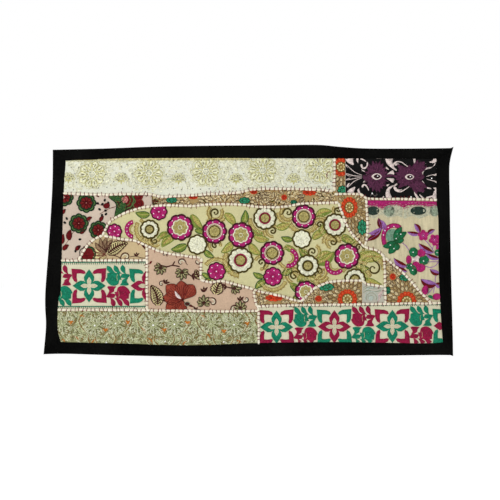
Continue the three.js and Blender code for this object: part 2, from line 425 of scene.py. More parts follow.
    def dots(self, thread, spots, r=1.3, up=MID, sides=6):
        """French knots, beads or sequins."""
        spots = np.asarray(spots, float).reshape(-1, 2)
        for spot in spots[self.depth(spots) > r]:
            t = np.linspace(0, 2 * np.pi, sides, endpoint=False)
            ring = np.stack([np.cos(t), np.sin(t)], 1)
            p = np.vstack([spot + ring * r, spot + ring * r * 0.72, spot])
            heights = np.concatenate([np.full(sides, SUNK), np.full(sides, up * 0.8), [up]])
            onward = [(i + 1) % sides for i in range(sides)]
            faces = [(i, onward[i], onward[i] + sides, i + sides) for i in range(sides)]
            faces += [(i + sides, onward[i] + sides, 2 * sides) for i in range(sides)]
            faces.append(list(reversed(range(sides))))
            self._gather(thread, p, heights, np.arange(len(p)) * THREAD / 2, faces)

    def leaf(self, x, z, x1, z1, width, near, far=None, rib=None, bend=0.1, up=LOW, outline=None, fat=0.8,
             thick=1.4):
        """A leaf in one or two threads, with a midrib and an outline if their threads are given."""
        a, b, middle = blade(x, z, x1, z1, width, bend, fat)
        if far:
            self.satin(near, a, middle, up)
            self.satin(far, middle, b, up)
        else:
            self.satin(near, a, b, up)
        if rib:
            self.line(rib, middle[:-1], max(0.9, width * 0.12), up + 0.3, taper=True)
        if outline:
            self.line(outline, a, thick, up + 0.25)
            self.line(outline, b, thick, up + 0.25)

    def slants(self, thread, x, z, x1, z1, width, bend=0.1, up=LOW, fat=0.8, thick=0.9, reach=0.95):
        """Single stitches on the slant, from a leaf's midrib to its edges."""
        a, b, rib = blade(x, z, x1, z1, width, bend, fat)
        for i in range(1, len(rib) - 3, 3):
            for edge in (a, b):
                j = i + 2
                self.line(thread, np.array([rib[i], rib[j] + (edge[j] - rib[j]) * reach]), thick,
                          up + 0.12)


# Materials.

# The colour of each thread, and how silky it is from 0 to 1.
THREADS = {
    "white_thread": ("#ebe8c6", 0.3),
    "cream_thread": ("#d8cc93", 0.3),
    "gold_thread": ("#a5995c", 0.5),
    "olive_thread": ("#4c4118", 0.1),
    "tan_thread": ("#8d6f3c", 0.1),
    "lime_thread": ("#b4ab5c", 0.2),
    "green_thread": ("#788a3c", 0.2),
    "deep_green_thread": ("#24502a", 0.3),
    "teal_thread": ("#027a5a", 0.6),
    "magenta_thread": ("#a81a66", 0.6),
    "crimson_thread": ("#8e0438", 0.6),
    "red_thread": ("#640b10", 0.3),
    "brick_thread": ("#93402f", 0.3),
    "orange_thread": ("#cc3c16", 0.5),
    "peach_thread": ("#b3935a", 0.3),
    "brown_thread": ("#46241f", 0.1),
    "violet_thread": ("#9765a6", 0.6),
    "purple_thread": ("#4c1d3a", 0.6),
    "black_thread": ("#101010", 0.1),
    "grey_thread": ("#8f9c86", 0.2),
    "couching_thread": ("#74161c", 0.2),
}

# Other colours of a slot: the slot, the colour, and how silky it is.
SHADES = {
    "pale_ground": ("white_thread", "#dacac4", 0.1),
    "pale_rose": ("white_thread", "#c4aea8", 0.1),
    "pale_blue": ("grey_thread", "#b4bfb4", 0.2),
    "ash_ground": ("grey_thread", "#b6b69e", 0.1),
    "ink_thread": ("black_thread", "#293a32", 0.2),
    "jade_thread": ("deep_green_thread", "#156c42", 0.5),
    "tile_line": ("tan_thread", "#c9b48c", 0.2),
    "olive_leaf": ("olive_thread", "#787b56", 0.1),
    "brick_brown": ("brown_thread", "#7a4a3a", 0.1),
    "violet_purple": ("purple_thread", "#743a5c", 0.6),
    "sage_light": ("grey_thread", "#ccd1a4", 0.2),
    "sage_deep": ("olive_thread", "#6e6b42", 0.1),
    "taupe_thread": ("brown_thread", "#8f7458", 0.1),
    "ox_thread": ("red_thread", "#43080b", 0.2),
    "plum_line": ("brown_thread", "#461a26", 0.1),
    "ivory_line": ("gold_thread", "#c4c084", 0.3),
    "vine_petal": ("cream_thread", "#dccb9e", 0.1),
    "vine_fill": ("tan_thread", "#ab9263", 0.1),
    "pale_sage": ("grey_thread", "#e3e8c4", 0.2),
    "deep_teal_thread": ("teal_thread", "#045842", 0.5),
    "deep_crimson_thread": ("crimson_thread", "#5e0628", 0.5),
    "rose_thread": ("brick_thread", "#c07a72", 0.2),
    "lace_ground": ("tan_thread", "#a89656", 0.2),
    "lace_knots": ("gold_thread", "#dccf90", 0.4),
    "peony_green": ("green_thread", "#6b957c", 0.3),
    "eye_thread": ("purple_thread", "#2a0c16", 0.3),
    "bottle_thread": ("deep_green_thread", "#14301c", 0.2),
    "flower_green": ("green_thread", "#4c6a38", 0.2),
    "ivory_fill": ("cream_thread", "#e6e3be", 0.3),
    "vine_teal": ("teal_thread", "#2f9068", 0.3),
    "rust_thread": ("orange_thread", "#bd7430", 0.2),
}

# The colour of each ground, by the record's slot.
GROUNDS = {
    "lime_cloth": "#cac495",
    "ivory_brocade": "#dadbc8",
    "vine_cloth": "#a58b5c",
    "damask_cloth": "#d6c6c0",
    "blush_cloth": "#c6b5a4",
    "fawn_cloth": "#c2ac84",
    "tile_cloth": "#d0ccb0",
    "rose_cloth": "#c4a88f",
    "bluish_cloth": "#b6b3a4",
    "crinkle_cloth": "#c8be9c",
    "sage_cloth": "#8e9066",
    "backing_cloth": "#c4baa0",
    "border_cotton": "#0d0d0c",
}


def linear(colour, strength=1.0):
    """A screen colour such as #aabbcc as the shader's own numbers."""
    parts = [int(colour[i:i + 2], 16) / 255 for i in (1, 3, 5)]
    light = [c / 12.92 if c <= 0.04045 else ((c + 0.055) / 1.055) ** 2.4 for c in parts]
    return [min(1, strength * c) for c in light] + [1]


class Shader:
    """A material's nodes, wired as they are made."""

    def __init__(self, name):
        self.material = bpy.data.materials.new(name)
        self.material.use_nodes = True
        self.tree = self.material.node_tree
        self.tree.nodes.clear()

    def add(self, kind, inputs=(), **settings):
        node = self.tree.nodes.new(kind)
        for key, value in settings.items():
            setattr(node, key, value)
        for key, value in dict(inputs).items():
            if isinstance(value, bpy.types.NodeSocket):
                self.tree.links.new(value, node.inputs[key])
            else:
                node.inputs[key].default_value = value
        return node

    def place(self):
        return self.add("ShaderNodeTexCoord").outputs["Object"]

    def across(self):
        """How far along its row of stitches a point lies, from the mesh."""
        return self.add("ShaderNodeAttribute", attribute_name="across").outputs["Fac"]

    def noise(self, place, scale, detail=2.0):
        return self.add("ShaderNodeTexNoise", {"Vector": place, "Scale": scale,
                                               "Detail": detail}).outputs["Fac"]

    def math(self, operation, a, b=0.0):
        return self.add("ShaderNodeMath", {0: a, 1: b}, operation=operation).outputs[0]

    def mix(self, share, a, b):
        node = self.add("ShaderNodeMix", {0: share, 6: a, 7: b}, data_type="RGBA")
        return node.outputs[2]

    def finish(self, colour, height, roughness, bump=0.5, distance=0.0003, **own):
        normal = self.add("ShaderNodeBump", {"Height": height, "Strength": bump, "Distance": distance})
        inputs = {"Base Color": colour, "Roughness": roughness, "Normal": normal.outputs[0]}
        inputs.update({key.replace("_", " "): value for key, value in own.items()})
        surface = self.add("ShaderNodeBsdfPrincipled", inputs)
        self.add("ShaderNodeOutputMaterial", {"Surface": surface.outputs[0]})
        return self.material


def thread_material(name, colour, silk):
    s = Shader(name)
    across = s.across()
    place = s.place()
    strands = s.math("SINE", s.math("MULTIPLY", across, 2 * math.pi / THREAD))
    patchy = s.noise(place, 230.0, 4.0)
    fine = s.noise(place, 900.0, 2.0)
    # Painted shade and light: the strands term darkens the colour between the strands and lightens their
    # crowns, over a range deepened for that shade; the patchy noise is the thread's own uneven tone.
    share = s.math("ADD", s.math("MULTIPLY", strands, 0.25),
                   s.math("SUBTRACT", s.math("MULTIPLY", patchy, 1.9), 0.43))
    shade = s.mix(share, linear(colour, 0.5), linear(colour, 1.35))
    height = s.math("ADD", strands, s.math("MULTIPLY", fine, 0.8))
    return s.finish(shade, height, 0.8 - 0.35 * silk, 0.7, 0.0002, Specular_IOR_Level=0.06 + 0.22 * silk)


def cloth_material(slot, streaks=0.0):
    """Plain woven cotton, unevenly washed, with painted shade in the hollows of its weave."""
    colour = GROUNDS[slot]
    s = Shader(slot)
    place = s.place()
    apart = s.add("ShaderNodeSeparateXYZ", {0: place})
    rate = 2 * math.pi / (WEAVE * MM)
    wobble = s.noise(place, 160.0, 2.0)
    shift = s.math("MULTIPLY", wobble, 5.0)
    warp = s.math("SINE", s.math("ADD", s.math("MULTIPLY", apart.outputs["X"], rate), shift))
    weft = s.math("SINE", s.math("ADD", s.math("MULTIPLY", apart.outputs["Z"], rate), shift))
    height = s.math("MULTIPLY", warp, weft)
    broad = s.noise(place, 14.0, 5.0)
    fine = s.noise(place, 320.0, 4.0)
    share = s.math("ADD", s.math("MULTIPLY", broad, 0.75), s.math("MULTIPLY", fine, 0.75))
    # The weave's height added here paints shade in its hollows and light on its crossings; the noise above
    # is the cotton's uneven washing.
    share = s.math("ADD", s.math("SUBTRACT", share, 0.15), s.math("MULTIPLY", height, 0.06))
    if streaks:
        drawn = s.add("ShaderNodeMapping", {"Vector": place, "Scale": (150.0, 150.0, 16.0)}).outputs[0]
        lines = s.noise(drawn, 1.0, 3.0)
        share = s.math("ADD", share, s.math("MULTIPLY", s.math("SUBTRACT", lines, 0.5), streaks))
    shade = s.mix(share, linear(colour, 1 - MOTTLE * 1.6), linear(colour, 1 + MOTTLE))
    rough = s.math("ADD", height, s.math("MULTIPLY", fine, 1.2))
    return s.finish(shade, rough, 0.92, 0.7, 0.0003, Specular_IOR_Level=0.06)


def border_material():
    """Matte black cotton with a faint twill and lint, and broad lighter patches that are painted
    highlights of its wrinkles.
    """
    s = Shader("border_cotton")
    place = s.place()
    apart = s.add("ShaderNodeSeparateXYZ", {0: place})
    rate = 2 * math.pi / (TWILL * MM)
    slant = s.math("ADD", apart.outputs["X"], apart.outputs["Z"])
    twill = s.math("SINE", s.math("MULTIPLY", slant, rate))
    lint = s.noise(place, 240.0, 5.0)
    broad = s.noise(place, 9.0, 3.0)
    # The lint noise is the cotton's own; the broad noise paints light on the border's wrinkles.
    share = s.math("ADD", s.math("MULTIPLY", lint, 1.4),
                   s.math("SUBTRACT", s.math("MULTIPLY", broad, 1.6), 1.0))
    shade = s.mix(share, linear("#020202"), linear("#10100f"))
    height = s.math("ADD", twill, s.math("MULTIPLY", lint, 1.5))
    return s.finish(shade, height, 0.95, 0.5, 0.0002, Specular_IOR_Level=0.03)


def braid_material():
    """Soft white cotton cord, its yarns lying on the slant, with painted shade between them."""
    s = Shader("braid")
    across = s.across()
    place = s.place()
    yarns = s.math("SINE", s.math("MULTIPLY", across, 2 * math.pi / YARN))
    broad = s.noise(place, 90.0, 4.0)
    # The yarns term paints shade between the yarns and light on their crowns; the broad noise is the
    # cord's own uneven tone.
    share = s.math("ADD", s.math("MULTIPLY", yarns, 0.12), broad)
    shade = s.mix(share, linear("#cbbf9d"), linear("#fbf6e6"))
    return s.finish(shade, yarns, 0.85, 0.6, 0.0003, Specular_IOR_Level=0.1)


def shiny_material(name, colour, roughness):
    s = Shader(name)
    place = s.place()
    cloud = s.noise(place, 300.0, 2.0)
    shade = s.mix(cloud, linear(colour, 0.8), linear(colour, 1.1))
    return s.finish(shade, cloud, roughness, 0.2, 0.0001, Coat_Weight=0.5, Coat_Roughness=0.08)


MATERIALS = {slot: thread_material(slot, *look) for slot, look in THREADS.items()}
MATERIALS.update({name: thread_material(name, colour, silk) for name, (_, colour, silk) in SHADES.items()})
PLAIN = [slot for slot in GROUNDS if slot not in ("border_cotton", "crinkle_cloth")]
MATERIALS.update({slot: cloth_material(slot) for slot in PLAIN})
MATERIALS["crinkle_cloth"] = cloth_material("crinkle_cloth", streaks=1.6)
MATERIALS["border_cotton"] = border_material()
MATERIALS["braid"] = braid_material()
MATERIALS["sequins"] = shiny_material("sequins", "#ffffff", 0.4)
MATERIALS["dark_beads"] = shiny_material("dark_beads", "#232423", 0.3)


def new_object(name, data):
    piece = bpy.data.objects.new(name, data)
    bpy.context.scene.collection.objects.link(piece)
    return piece


def mesh_piece(name, points, faces, slots, across=None, face_slots=None):
    """A piece of the tapestry, riding on it, with its first slot as the record's."""
    mesh = bpy.data.meshes.new(name)
    mesh.from_pydata(points.tolist(), [], faces)
    for slot in slots:
        mesh.materials.append(MATERIALS[slot])
    if face_slots is not None:
        mesh.polygons.foreach_set("material_index", face_slots)
    if across is not None:
        mesh.attributes.new("across", "FLOAT", "POINT").data.foreach_set("value", across)
    mesh.polygons.foreach_set("use_smooth", [True] * len(mesh.polygons))
    mesh.validate()
    mesh.update()
    piece = new_object(name, mesh)
    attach(piece, "root")
    return piece


# Cloth.


def with_corners(loop, step, sharp=35.0):
    """An outline's points set at even steps between its sharp corners."""
    onward = np.roll(loop, -1, axis=0) - loop
    heading = np.degrees(np.arctan2(onward[:, 1], onward[:, 0]))
    turn = (heading - np.roll(heading, 1) + 180) % 360 - 180
    corners = list(np.flatnonzero(abs(turn) > sharp)) or [0]
    parts = []
    for i, j in zip(corners, corners[1:] + [corners[0] + len(loop)]):
        part = np.take(loop, range(i, j + 1), axis=0, mode="wrap")
        parts.append(even(part, step)[:-1])
    return np.vstack(parts)


def spread_inside(loop, deep, rows):
    """Points for a cloth's mesh: rows that follow its edge, then an even field of them."""
    closed = np.vstack([loop, loop[:1]])
    found = []
    for inset in rows:
        row = side_of(even(closed, max(2.2, inset)), inset)
        found.append(row[deep(row) > inset * 0.9])
    low, high = loop.min(0), loop.max(0)
    z = np.arange(low[1], high[1], SPACING * 0.87)
    x = np.arange(low[0], high[0], SPACING)
    field = np.array([(u + (i % 2) * SPACING / 2, v) for i, v in enumerate(z) for u in x])
    found.append(field[deep(field) > rows[-1] + SPACING * 0.5])
    return np.vstack(found)


def cloth_piece(node, loop, inner, top, bottom, slots):
    """A closed thin sheet between two heights."""
    points = [Vector(p) for p in np.vstack([loop, inner]).tolist()]
    edge = len(loop)
    found, _, faces, *_ = delaunay_2d_cdt(points, [], [list(range(edge))], 1, 1e-5)
    flat = np.array([v[:] for v in found])
    n = len(flat)
    x, z = flat[:, 0], flat[:, 1]
    solid = np.vstack([in_place(x, z, top(flat)), in_place(x, z, bottom(flat))])
    rim = [(i, i + n, (i + 1) % edge + n, (i + 1) % edge) for i in range(edge)]
    both = [list(f) for f in faces] + [[i + n for i in reversed(f)] for f in faces] + rim
    face_slots = [0] * len(faces) + [1] * len(faces) + [1] * edge
    piece = mesh_piece(node + "_cloth", solid, both, slots, face_slots=face_slots)
    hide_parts(node)
    return piece


def patch_cloth(patch, slot):
    loop = with_corners(patch.outline, 3.0)
    inner = spread_inside(loop, patch.depth, [2.0, 4.5])
    back = lambda p: 0.35 * np.clip(patch.height(p) - CLOTH, -0.5, 1)
    cloth_piece(patch.node, loop, inner, patch.height, back, [slot, "backing_cloth"])


FOLD_ROUND = 3.2  # how far in from a fold the border is rounded
STITCH_LINE = 4.2  # how far in it is stitched down
LEFT_STRIP_CORNER = (-471.4, -488)  # where the left strip's inner edge meets its lower mitre
LEFT_STRIP_FILL = (-470, -493)  # a point that closes the small gap to the bottom strip there


def border_cloth(node, seed):
    """A folded strip of the border: rounded at its folds, puckered where it is stitched down."""
    outline = outline_of(node)
    if node == "border_left":
        near = int(np.argmin(np.hypot(*(outline - LEFT_STRIP_CORNER).T)))
        outline = np.insert(outline, near, LEFT_STRIP_FILL, axis=0)
    loop = with_corners(outline, 3.0)
    along = (np.roll(loop, -1, axis=0) - np.roll(loop, 1, axis=0))
    along /= np.linalg.norm(along, axis=1)[:, None]
    mitre = (abs(along) > 0.3).all(axis=1)
    out = np.stack([along[:, 1], -along[:, 0]], 1)
    loop[mitre] += MITRE_LAP * out[mitre]
    inner_side = ~mitre & (np.sum((loop - MIDDLE) * out, axis=1) < 0)
    loop[inner_side] += TUCK * out[inner_side]
    deep = lambda p: from_edge(loop, p[:, 0], p[:, 1])[0]
    inner = spread_inside(loop, deep, [0.8, 2.0, STITCH_LINE])
    middle, half = BORDER / 2 + 0.25, BORDER / 2 + 0.15

    def swell(p):
        d, along = from_edge(loop, p[:, 0], p[:, 1])
        d = np.clip(d, 0, None)
        round_edge = np.sqrt(np.clip(1 - (1 - np.clip(d / FOLD_ROUND, 0, 1)) ** 2, 0.04, 1))
        stitch_line = 0.5 * np.exp(-((d - STITCH_LINE) / 1.2) ** 2)
        wobble = 1.5 * waves(p[:, 0], p[:, 1], 40, seed)
        puckers = 0.3 * np.exp(-d / 9) * np.sin(2 * np.pi * along / 13 + wobble)
        uneven = puckers + 0.35 * waves(p[:, 0], p[:, 1], 55, seed + 1) * round_edge - stitch_line
        return round_edge, uneven

    def top(p):
        round_edge, uneven = swell(p)
        return middle + half * round_edge + uneven * round_edge

    def bottom(p):
        return np.maximum(middle - half * swell(p)[0], 0.0)

    cloth_piece(node, loop, inner, top, bottom, ["border_cotton", "border_cotton"])


# The couched braid.


def tube(skein, path, half_width, half_height, sides=8, twist=0.9):
    """A closed round cord along points in metres, lying with its flat side to the cloth."""
    n = len(path)
    along = np.gradient(path, axis=0)
    along /= np.linalg.norm(along, axis=1)[:, None]
    out = np.array([0.0, -1.0, 0.0])
    beside = np.cross(along, out)
    beside /= np.linalg.norm(beside, axis=1)[:, None]
    outward = np.cross(beside, along)
    t = np.linspace(0, 2 * np.pi, sides, endpoint=False)
    ring = (path[:, None] + beside[:, None] * (np.cos(t)[None, :, None] * half_width[:, None, None])
            + outward[:, None] * (np.sin(t)[None, :, None] * half_height[:, None, None]))
    points = ring.reshape(-1, 3)
    run = run_of(path) / MM
    across = (run[:, None] * twist + t[None] * 0.6).ravel()
    faces = []
    for i in range(n - 1):
        for j in range(sides):
            k = (j + 1) % sides
            faces.append((i * sides + j, i * sides + k, (i + 1) * sides + k, (i + 1) * sides + j))
    faces.append(list(reversed(range(sides))))
    faces.append([(n - 1) * sides + j for j in range(sides)])
    skein.add(points, faces, across)


TILE_TOP_END = (-468.5, -288)  # just under the left border


def braid_line(name):
    """A braid's centre line. That of tile_top is tucked a little further in under the border."""
    line = ridge_of("braid_" + name)
    if name == "tile_top":
        left_end = 0 if line[0][0] < line[-1][0] else -1
        line[left_end] = TILE_TOP_END
    return line


# Half the braid's width and height where a stitch pinches it, and what it gains between two stitches.
PINCHED = (1.3, 0.5)
SWELL = (1.8, 1.05)


def couched_braid(name, seed):
    """A braid pinched at each couching stitch, and the stitches over it."""
    node = "braid_" + name
    line = smooth_line(braid_line(name), 1.2)
    run = run_of(line)
    rng = np.random.default_rng(seed)
    count = max(2, round(run[-1] / COUCHING))
    ties = np.linspace(0, run[-1], count + 1)
    ties[1:-1] += rng.uniform(-0.16, 0.16, count - 1) * COUCHING
    place = np.interp(run, ties, np.arange(count + 1))
    puff = np.abs(np.sin(np.pi * place)) ** 0.45
    fat = 1 + 0.12 * np.interp(place, np.arange(count + 1), rng.uniform(-1, 1, count + 1))
    half_width = (PINCHED[0] + SWELL[0] * puff) * fat
    half_height = (PINCHED[1] + SWELL[1] * puff) * fat
    wander = 0.45 * waves(line[:, 0], line[:, 1], 45, seed)
    line = side_of(line, wander)
    x, z = line[:, 0], line[:, 1]
    path = in_place(x, z, CLOTH - 0.2 + half_height)
    skein = Skein()
    tube(skein, path, half_width * MM, half_height * MM)
    piece = mesh_piece(node + "_cord", np.vstack(skein.points), skein.faces, ["braid"],
                       across=np.concatenate(skein.across))
    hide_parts(node)
    couching_stitches(line, run, ties, rng)


def couching_stitches(line, run, ties, rng):
    """Thin stitches over the braid at its pinches, with loose ends of thread left on the cloth."""
    stitches = SKEINS.setdefault(("seams", "couching_thread"), Skein())
    along = np.gradient(line, axis=0)
    for tie in ties[1:-1]:
        i = min(np.searchsorted(run, tie), len(line) - 1)
        forward = along[i] / np.linalg.norm(along[i])
        left = np.array([-forward[1], forward[0]])
        reach = np.array([-2.4 - rng.uniform(0.4, 2.6), 2.6 + rng.uniform(1.2, 5.4)])
        if rng.uniform() < 0.5:
            reach = -reach[::-1]
        slant = rng.uniform(-0.5, 0.5)
        t = np.linspace(0, 1, 11)
        aside = reach[0] + (reach[1] - reach[0]) * t
        p = line[i] + left * aside[:, None] + forward * (slant * aside)[:, None]
        over = np.clip(1 - (aside / 2.9) ** 2, 0, None) ** 0.5
        up = CLOTH + 0.45 + 1.25 * over
        up[[0, -1]] -= 0.5
        path = in_place(p[:, 0], p[:, 1], up)
        size = (0.75 + 0.3 * over) * MM
        tube(stitches, path, size, size, sides=5, twist=1.5)


def back_stitches(name, seed):
    """The couching thread where it shows behind, as a row of running stitches."""
    stitches = SKEINS.setdefault(("back", "couching_thread"), Skein())
    line = smooth_line(braid_line(name), 1.0)
    run = run_of(line)
    rng = np.random.default_rng(seed)
    at = 3.0
    while at < run[-1] - 8:
        s = np.linspace(at, at + rng.uniform(4.5, 6.5), 6)
        x, z = np.interp(s, run, line[:, 0]), np.interp(s, run, line[:, 1]) + rng.uniform(-0.5, 0.5)
        up = np.array([0.35, 0.05, -0.1, -0.1, 0.05, 0.35])
        size = np.full(len(s), 0.45 * MM)
        tube(stitches, in_place(x, z, up), size, size, sides=5, twist=1.5)
        at += rng.uniform(8.5, 12.5)


SEAMS = sorted(n[len("braid_"):] for n in frame["nodes"] if n.startswith("braid_"))
for number, seam in enumerate(SEAMS):
    couched_braid(seam, 100 + number)
    back_stitches(seam, 300 + number)

PATCHES = {}


def patch(name, group, slot, seed, **looks):
    """Makes a patch's cloth, and keeps it for its needlework."""
    PATCHES[name] = Patch("patch_" + name, group, seed, **looks)
    patch_cloth(PATCHES[name], slot)
    return PATCHES[name]


# Motifs that several patches use.


def scatter(p, spacing, seed, clear=(), margin=2.0):
    """Uneven points all over a patch, but for its margin and some circles x, z, r."""
    rng = np.random.default_rng(seed)
    x, z = np.meshgrid(np.arange(p.low[0], p.high[0], spacing),
                       np.arange(p.low[1], p.high[1], spacing * 0.87))
    x = x + (np.arange(len(z)) % 2)[:, None] * spacing / 2
    spots = np.stack([x, z], -1).reshape(-1, 2)
    spots += rng.uniform(-0.24, 0.24, spots.shape) * spacing
    keep = p.depth(spots) > margin
    for cx, cz, r in clear:
        keep &= np.hypot(spots[:, 0] - cx, spots[:, 1] - cz) > r
    return spots[keep]


def sequins(p, x, z, r, count, turn=0.0, size=1.7, up=HIGH + 0.5):
    spots = [around(x, z, r, turn + 360 * i / count) for i in range(count)]
    p.dots("sequins", spots, size, up, sides=8)


def rays(p, thread, x, z, inner, outer, count, width, up):
    """Lines all round a centre, between its lobes."""
    for i in range(count):
        p.line(thread, ray(x, z, inner, outer, 360 * (i + 0.5) / count), width, up)


def rimmed(p, thread, x, z, r, lobes, bite, inner, edge, up=HIGH):
    """A ring of satin between a round heart and a scalloped edge, outlined and notched."""
    rim = scallops(x, z, r, lobes, bite)
    hole = scallops(x, z, inner, n=len(rim))
    p.satin(thread, hole, rim, up, closed=True)
    p.line(edge, scallops(x, z, r - 0.2, lobes, bite), 4.8, up + 0.15, closed=True)
    rays(p, edge, x, z, r * (1 - bite), (r + inner) / 2, lobes, 1.1, up + 0.2)


def crescent(p, way, swell, thick):
    """A magenta band along a way, with crimson edges."""
    sides = side_of(way, swell), side_of(way, -swell)
    p.satin("magenta_thread", *sides, HIGH)
    for side in sides:
        p.line("crimson_thread", side, thick, HIGH)


def ladder(one, other, step=STEP):
    """Two edges given by matching corners, each with as many even points between its corners."""
    a, b = [one[:1]], [other[:1]]
    for i in range(1, len(one)):
        n = max(1, round(np.linalg.norm(one[i] - one[i - 1]) / step))
        t = np.arange(1, n + 1)[:, None] / n
        a.append(one[i - 1] + (one[i] - one[i - 1]) * t)
        b.append(other[i - 1] + (other[i] - other[i - 1]) * t)
    return np.vstack(a), np.vstack(b)


def spread(p, thread, top, bottom, up=LOW, ribs=10, step=3.0):
    """A broad ground of laid stitches between two lines."""
    n = max(4, round(np.ptp(np.asarray(top, float), axis=0).max() / step))
    a, b = (np.asarray(line, float) for line in (top, bottom))
    at = np.linspace(0, 1, n + 1)

    def along(line):
        run = np.linspace(0, 1, len(line))
        return np.stack([np.interp(at, run, line[:, 0]), np.interp(at, run, line[:, 1])], 1)

    p.satin(thread, along(a), along(b), up, ribs=ribs, crown="flat")


def stems(p, thread, ways, width, up, taper=False):
    """Smooth lines through the points of each way."""
    for way in ways:
        p.line(thread, smooth_line(way), width, up, taper=taper)


def palmette(p, thread, x, z, tips, **looks):
    """Leaves from one foot. Columns of the tips: x, z, width."""
    for x1, z1, width in tips:
        p.leaf(x, z, x1, z1, width, thread, **looks)


def blob(p, thread, points, up=MID, centre=None):
    """A closed shape through some points, filled."""
    points = np.asarray(points, float)
    rim = smooth_line(np.vstack([points, points[:1]]), STEP)[:-1]
    p.disc(thread, rim, centre=centre, up=up)


def oval(p, thread, x, z, half_x, half_z, up=MID, turn=0.0, outline=None):
    n = max(10, round((half_x + half_z) * 3 / STEP))
    rim = placed(scallops(0, 0, 1, n=n) * [half_x, half_z], x, z, turn)
    p.disc(thread, rim, up=up)
    if outline:
        p.line(outline, rim, 1.2, up + 0.2, closed=True)


# The centre patch: flowers, crescents, leaves and scrolls.

DISCS = [(-224, -166, 22), (-335, -215, 20), (-80, -315, 24), (61, -328, 25)]
# Columns: x, z, radius, whether the heart is lobed.
ROSETTES = [(-171, -205, 32, 1), (-85, -215, 30, 0), (-19, -224, 31, 1), (138, -178, 29, 0),
            (59, -269, 29, 0), (246, -277, 31, 1), (143, -366, 27, 1)]
# Columns: x, z, radius, thread round the heart.
DAISIES = [(-247, -210, 23, "olive_thread"), (41, -182, 28, "crimson_thread"),
           (216, -199, 28, "crimson_thread"), (-20, -287, 31, "crimson_thread"),
           (148, -301, 27, "olive_thread"), (266, -335, 26, "olive_thread")]
PALE_DISCS = [(-128, -248, 25), (133, -234, 24)]
# Columns: x, z, radius, first and last angle.
CRESCENTS = [(-285, -210, 19, 100, 260), (100, -281, 20, -105, 75), (216, -299, 20, 150, 325)]
# Columns: x, z of the base, x, z of the tip.
LEAVES = [
    (-142, -173, -113, -209), (-60, -171, -34, -202), (69, -205, 105, -193), (169, -177, 208, -165),
    (14, -226, 51, -235), (161, -235, 193, -214), (-184, -226, -216, -254), (-40, -241, -68, -267),
    (3, -245, 31, -273), (148, -273, 126, -258), (143, -324, 122, -341), (143, -324, 163, -341),
    (125, -365, 103, -345), (174, -285, 205, -267), (235, -223, 267, -242), (179, -223, 211, -194),
    (277, -270, 336, -275), (277, -285, 316, -277), (172, -295, 214, -266), (272, -316, 297, -338),
    (292, -334, 332, -348), (-204, -216, -228, -231), (-182, -228, -217, -250), (-222, -232, -203, -217),
    (92, -250, 120, -263), (-40, -300, -64, -314), (-172, -238, -158, -222), (36, -222, 12, -212),
]
DEEP_LEAVES = [
    (-16, -198, -8, -162), (-155, -248, -193, -260), (-110, -262, -86, -279), (-134, -212, -110, -223),
    (44, -339, 17, -359), (38, -329, 12, -318), (83, -321, 109, -308), (110, -235, 82, -229),
    (-99, -334, -118, -320), (-247, -172, -282, -168), (269, -300, 302, -307), (233, -236, 264, -244),
    (129, -267, 150, -278), (123, -372, 108, -386), (-94, -334, -112, -345), (126, -352, 152, -336),
    (124, -368, 104, -352),
]
# Columns: x, z, radius, start angle, hand.
SCROLLS = [(-83, -168, 10, 200, -1), (99, -168, 10, 160, -1), (60, -214, 8, 90, -1), (178, -199, 8, 0, 1),
           (-84, -250, 8, 60, 1), (-234, -238, 8, 130, 1), (211, -241, 9, 60, -1), (223, -163, 7, 200, -1),
           (275, -255, 8, 20, 1), (32, -293, 9, 330, 1), (160, -266, 10, 230, -1), (114, -326, 10, 70, 1),
           (176, -315, 10, 200, -1), (312, -308, 15, 60, -1)]
# Bands that bend round flowers. Columns: x, z, radius, first and last angle.
FLOWER_LACE = [(-247, -210, 36, 150, 330), (-20, -287, 42, 150, 265), (148, -301, 39, 190, 350),
               (216, -199, 40, 190, 300), (41, -182, 41, 180, 260), (-285, -210, 30, 290, 420),
               (100, -281, 27, 60, 250), (266, -335, 40, 10, 150), (138, -178, 42, 200, 330),
               (-80, -315, 33, 30, 150), (61, -328, 36, 200, 340), (143, -366, 38, -10, 100)]


def stipple(p, x, z, r, up=HIGH):
    """A gold round with rings of close knots in three threads."""
    p.disc("gold_thread", scallops(x, z, r), up=up)
    for ring, count in ((0.84, 16), (0.56, 11), (0.28, 6)):
        if ring * r < 2:
            continue
        for i in range(count):
            thread = ("olive_thread", "cream_thread", "tan_thread")[(i * 2 + int(ring * 10)) % 3]
            p.dots(thread, [around(x, z, r * ring, 360 * i / count)], 1.0, up + 0.35)


def heart(p, x, z, r, lobed):
    """A flower's gold heart of knots: lobed with pale rings, or round with a pale ring and a dark one."""
    if lobed:
        rim = scallops(x, z, r * 1.12, 8, 0.2)
        p.disc("gold_thread", rim, up=HIGH)
        stipple(p, x, z, r * 0.84)
        p.line("white_thread", rim, 3.4, HIGH + 0.3, closed=True)
        p.line("white_thread", scallops(x, z, r * 0.26), 1.7, HIGH + 0.5, closed=True)
    else:
        p.line("white_thread", scallops(x, z, r * 1.14), 2.4, HIGH + 0.2, closed=True)
        stipple(p, x, z, r * 0.86)
        p.line("olive_thread", scallops(x, z, r * 0.84), 3.0, HIGH + 0.25, closed=True)


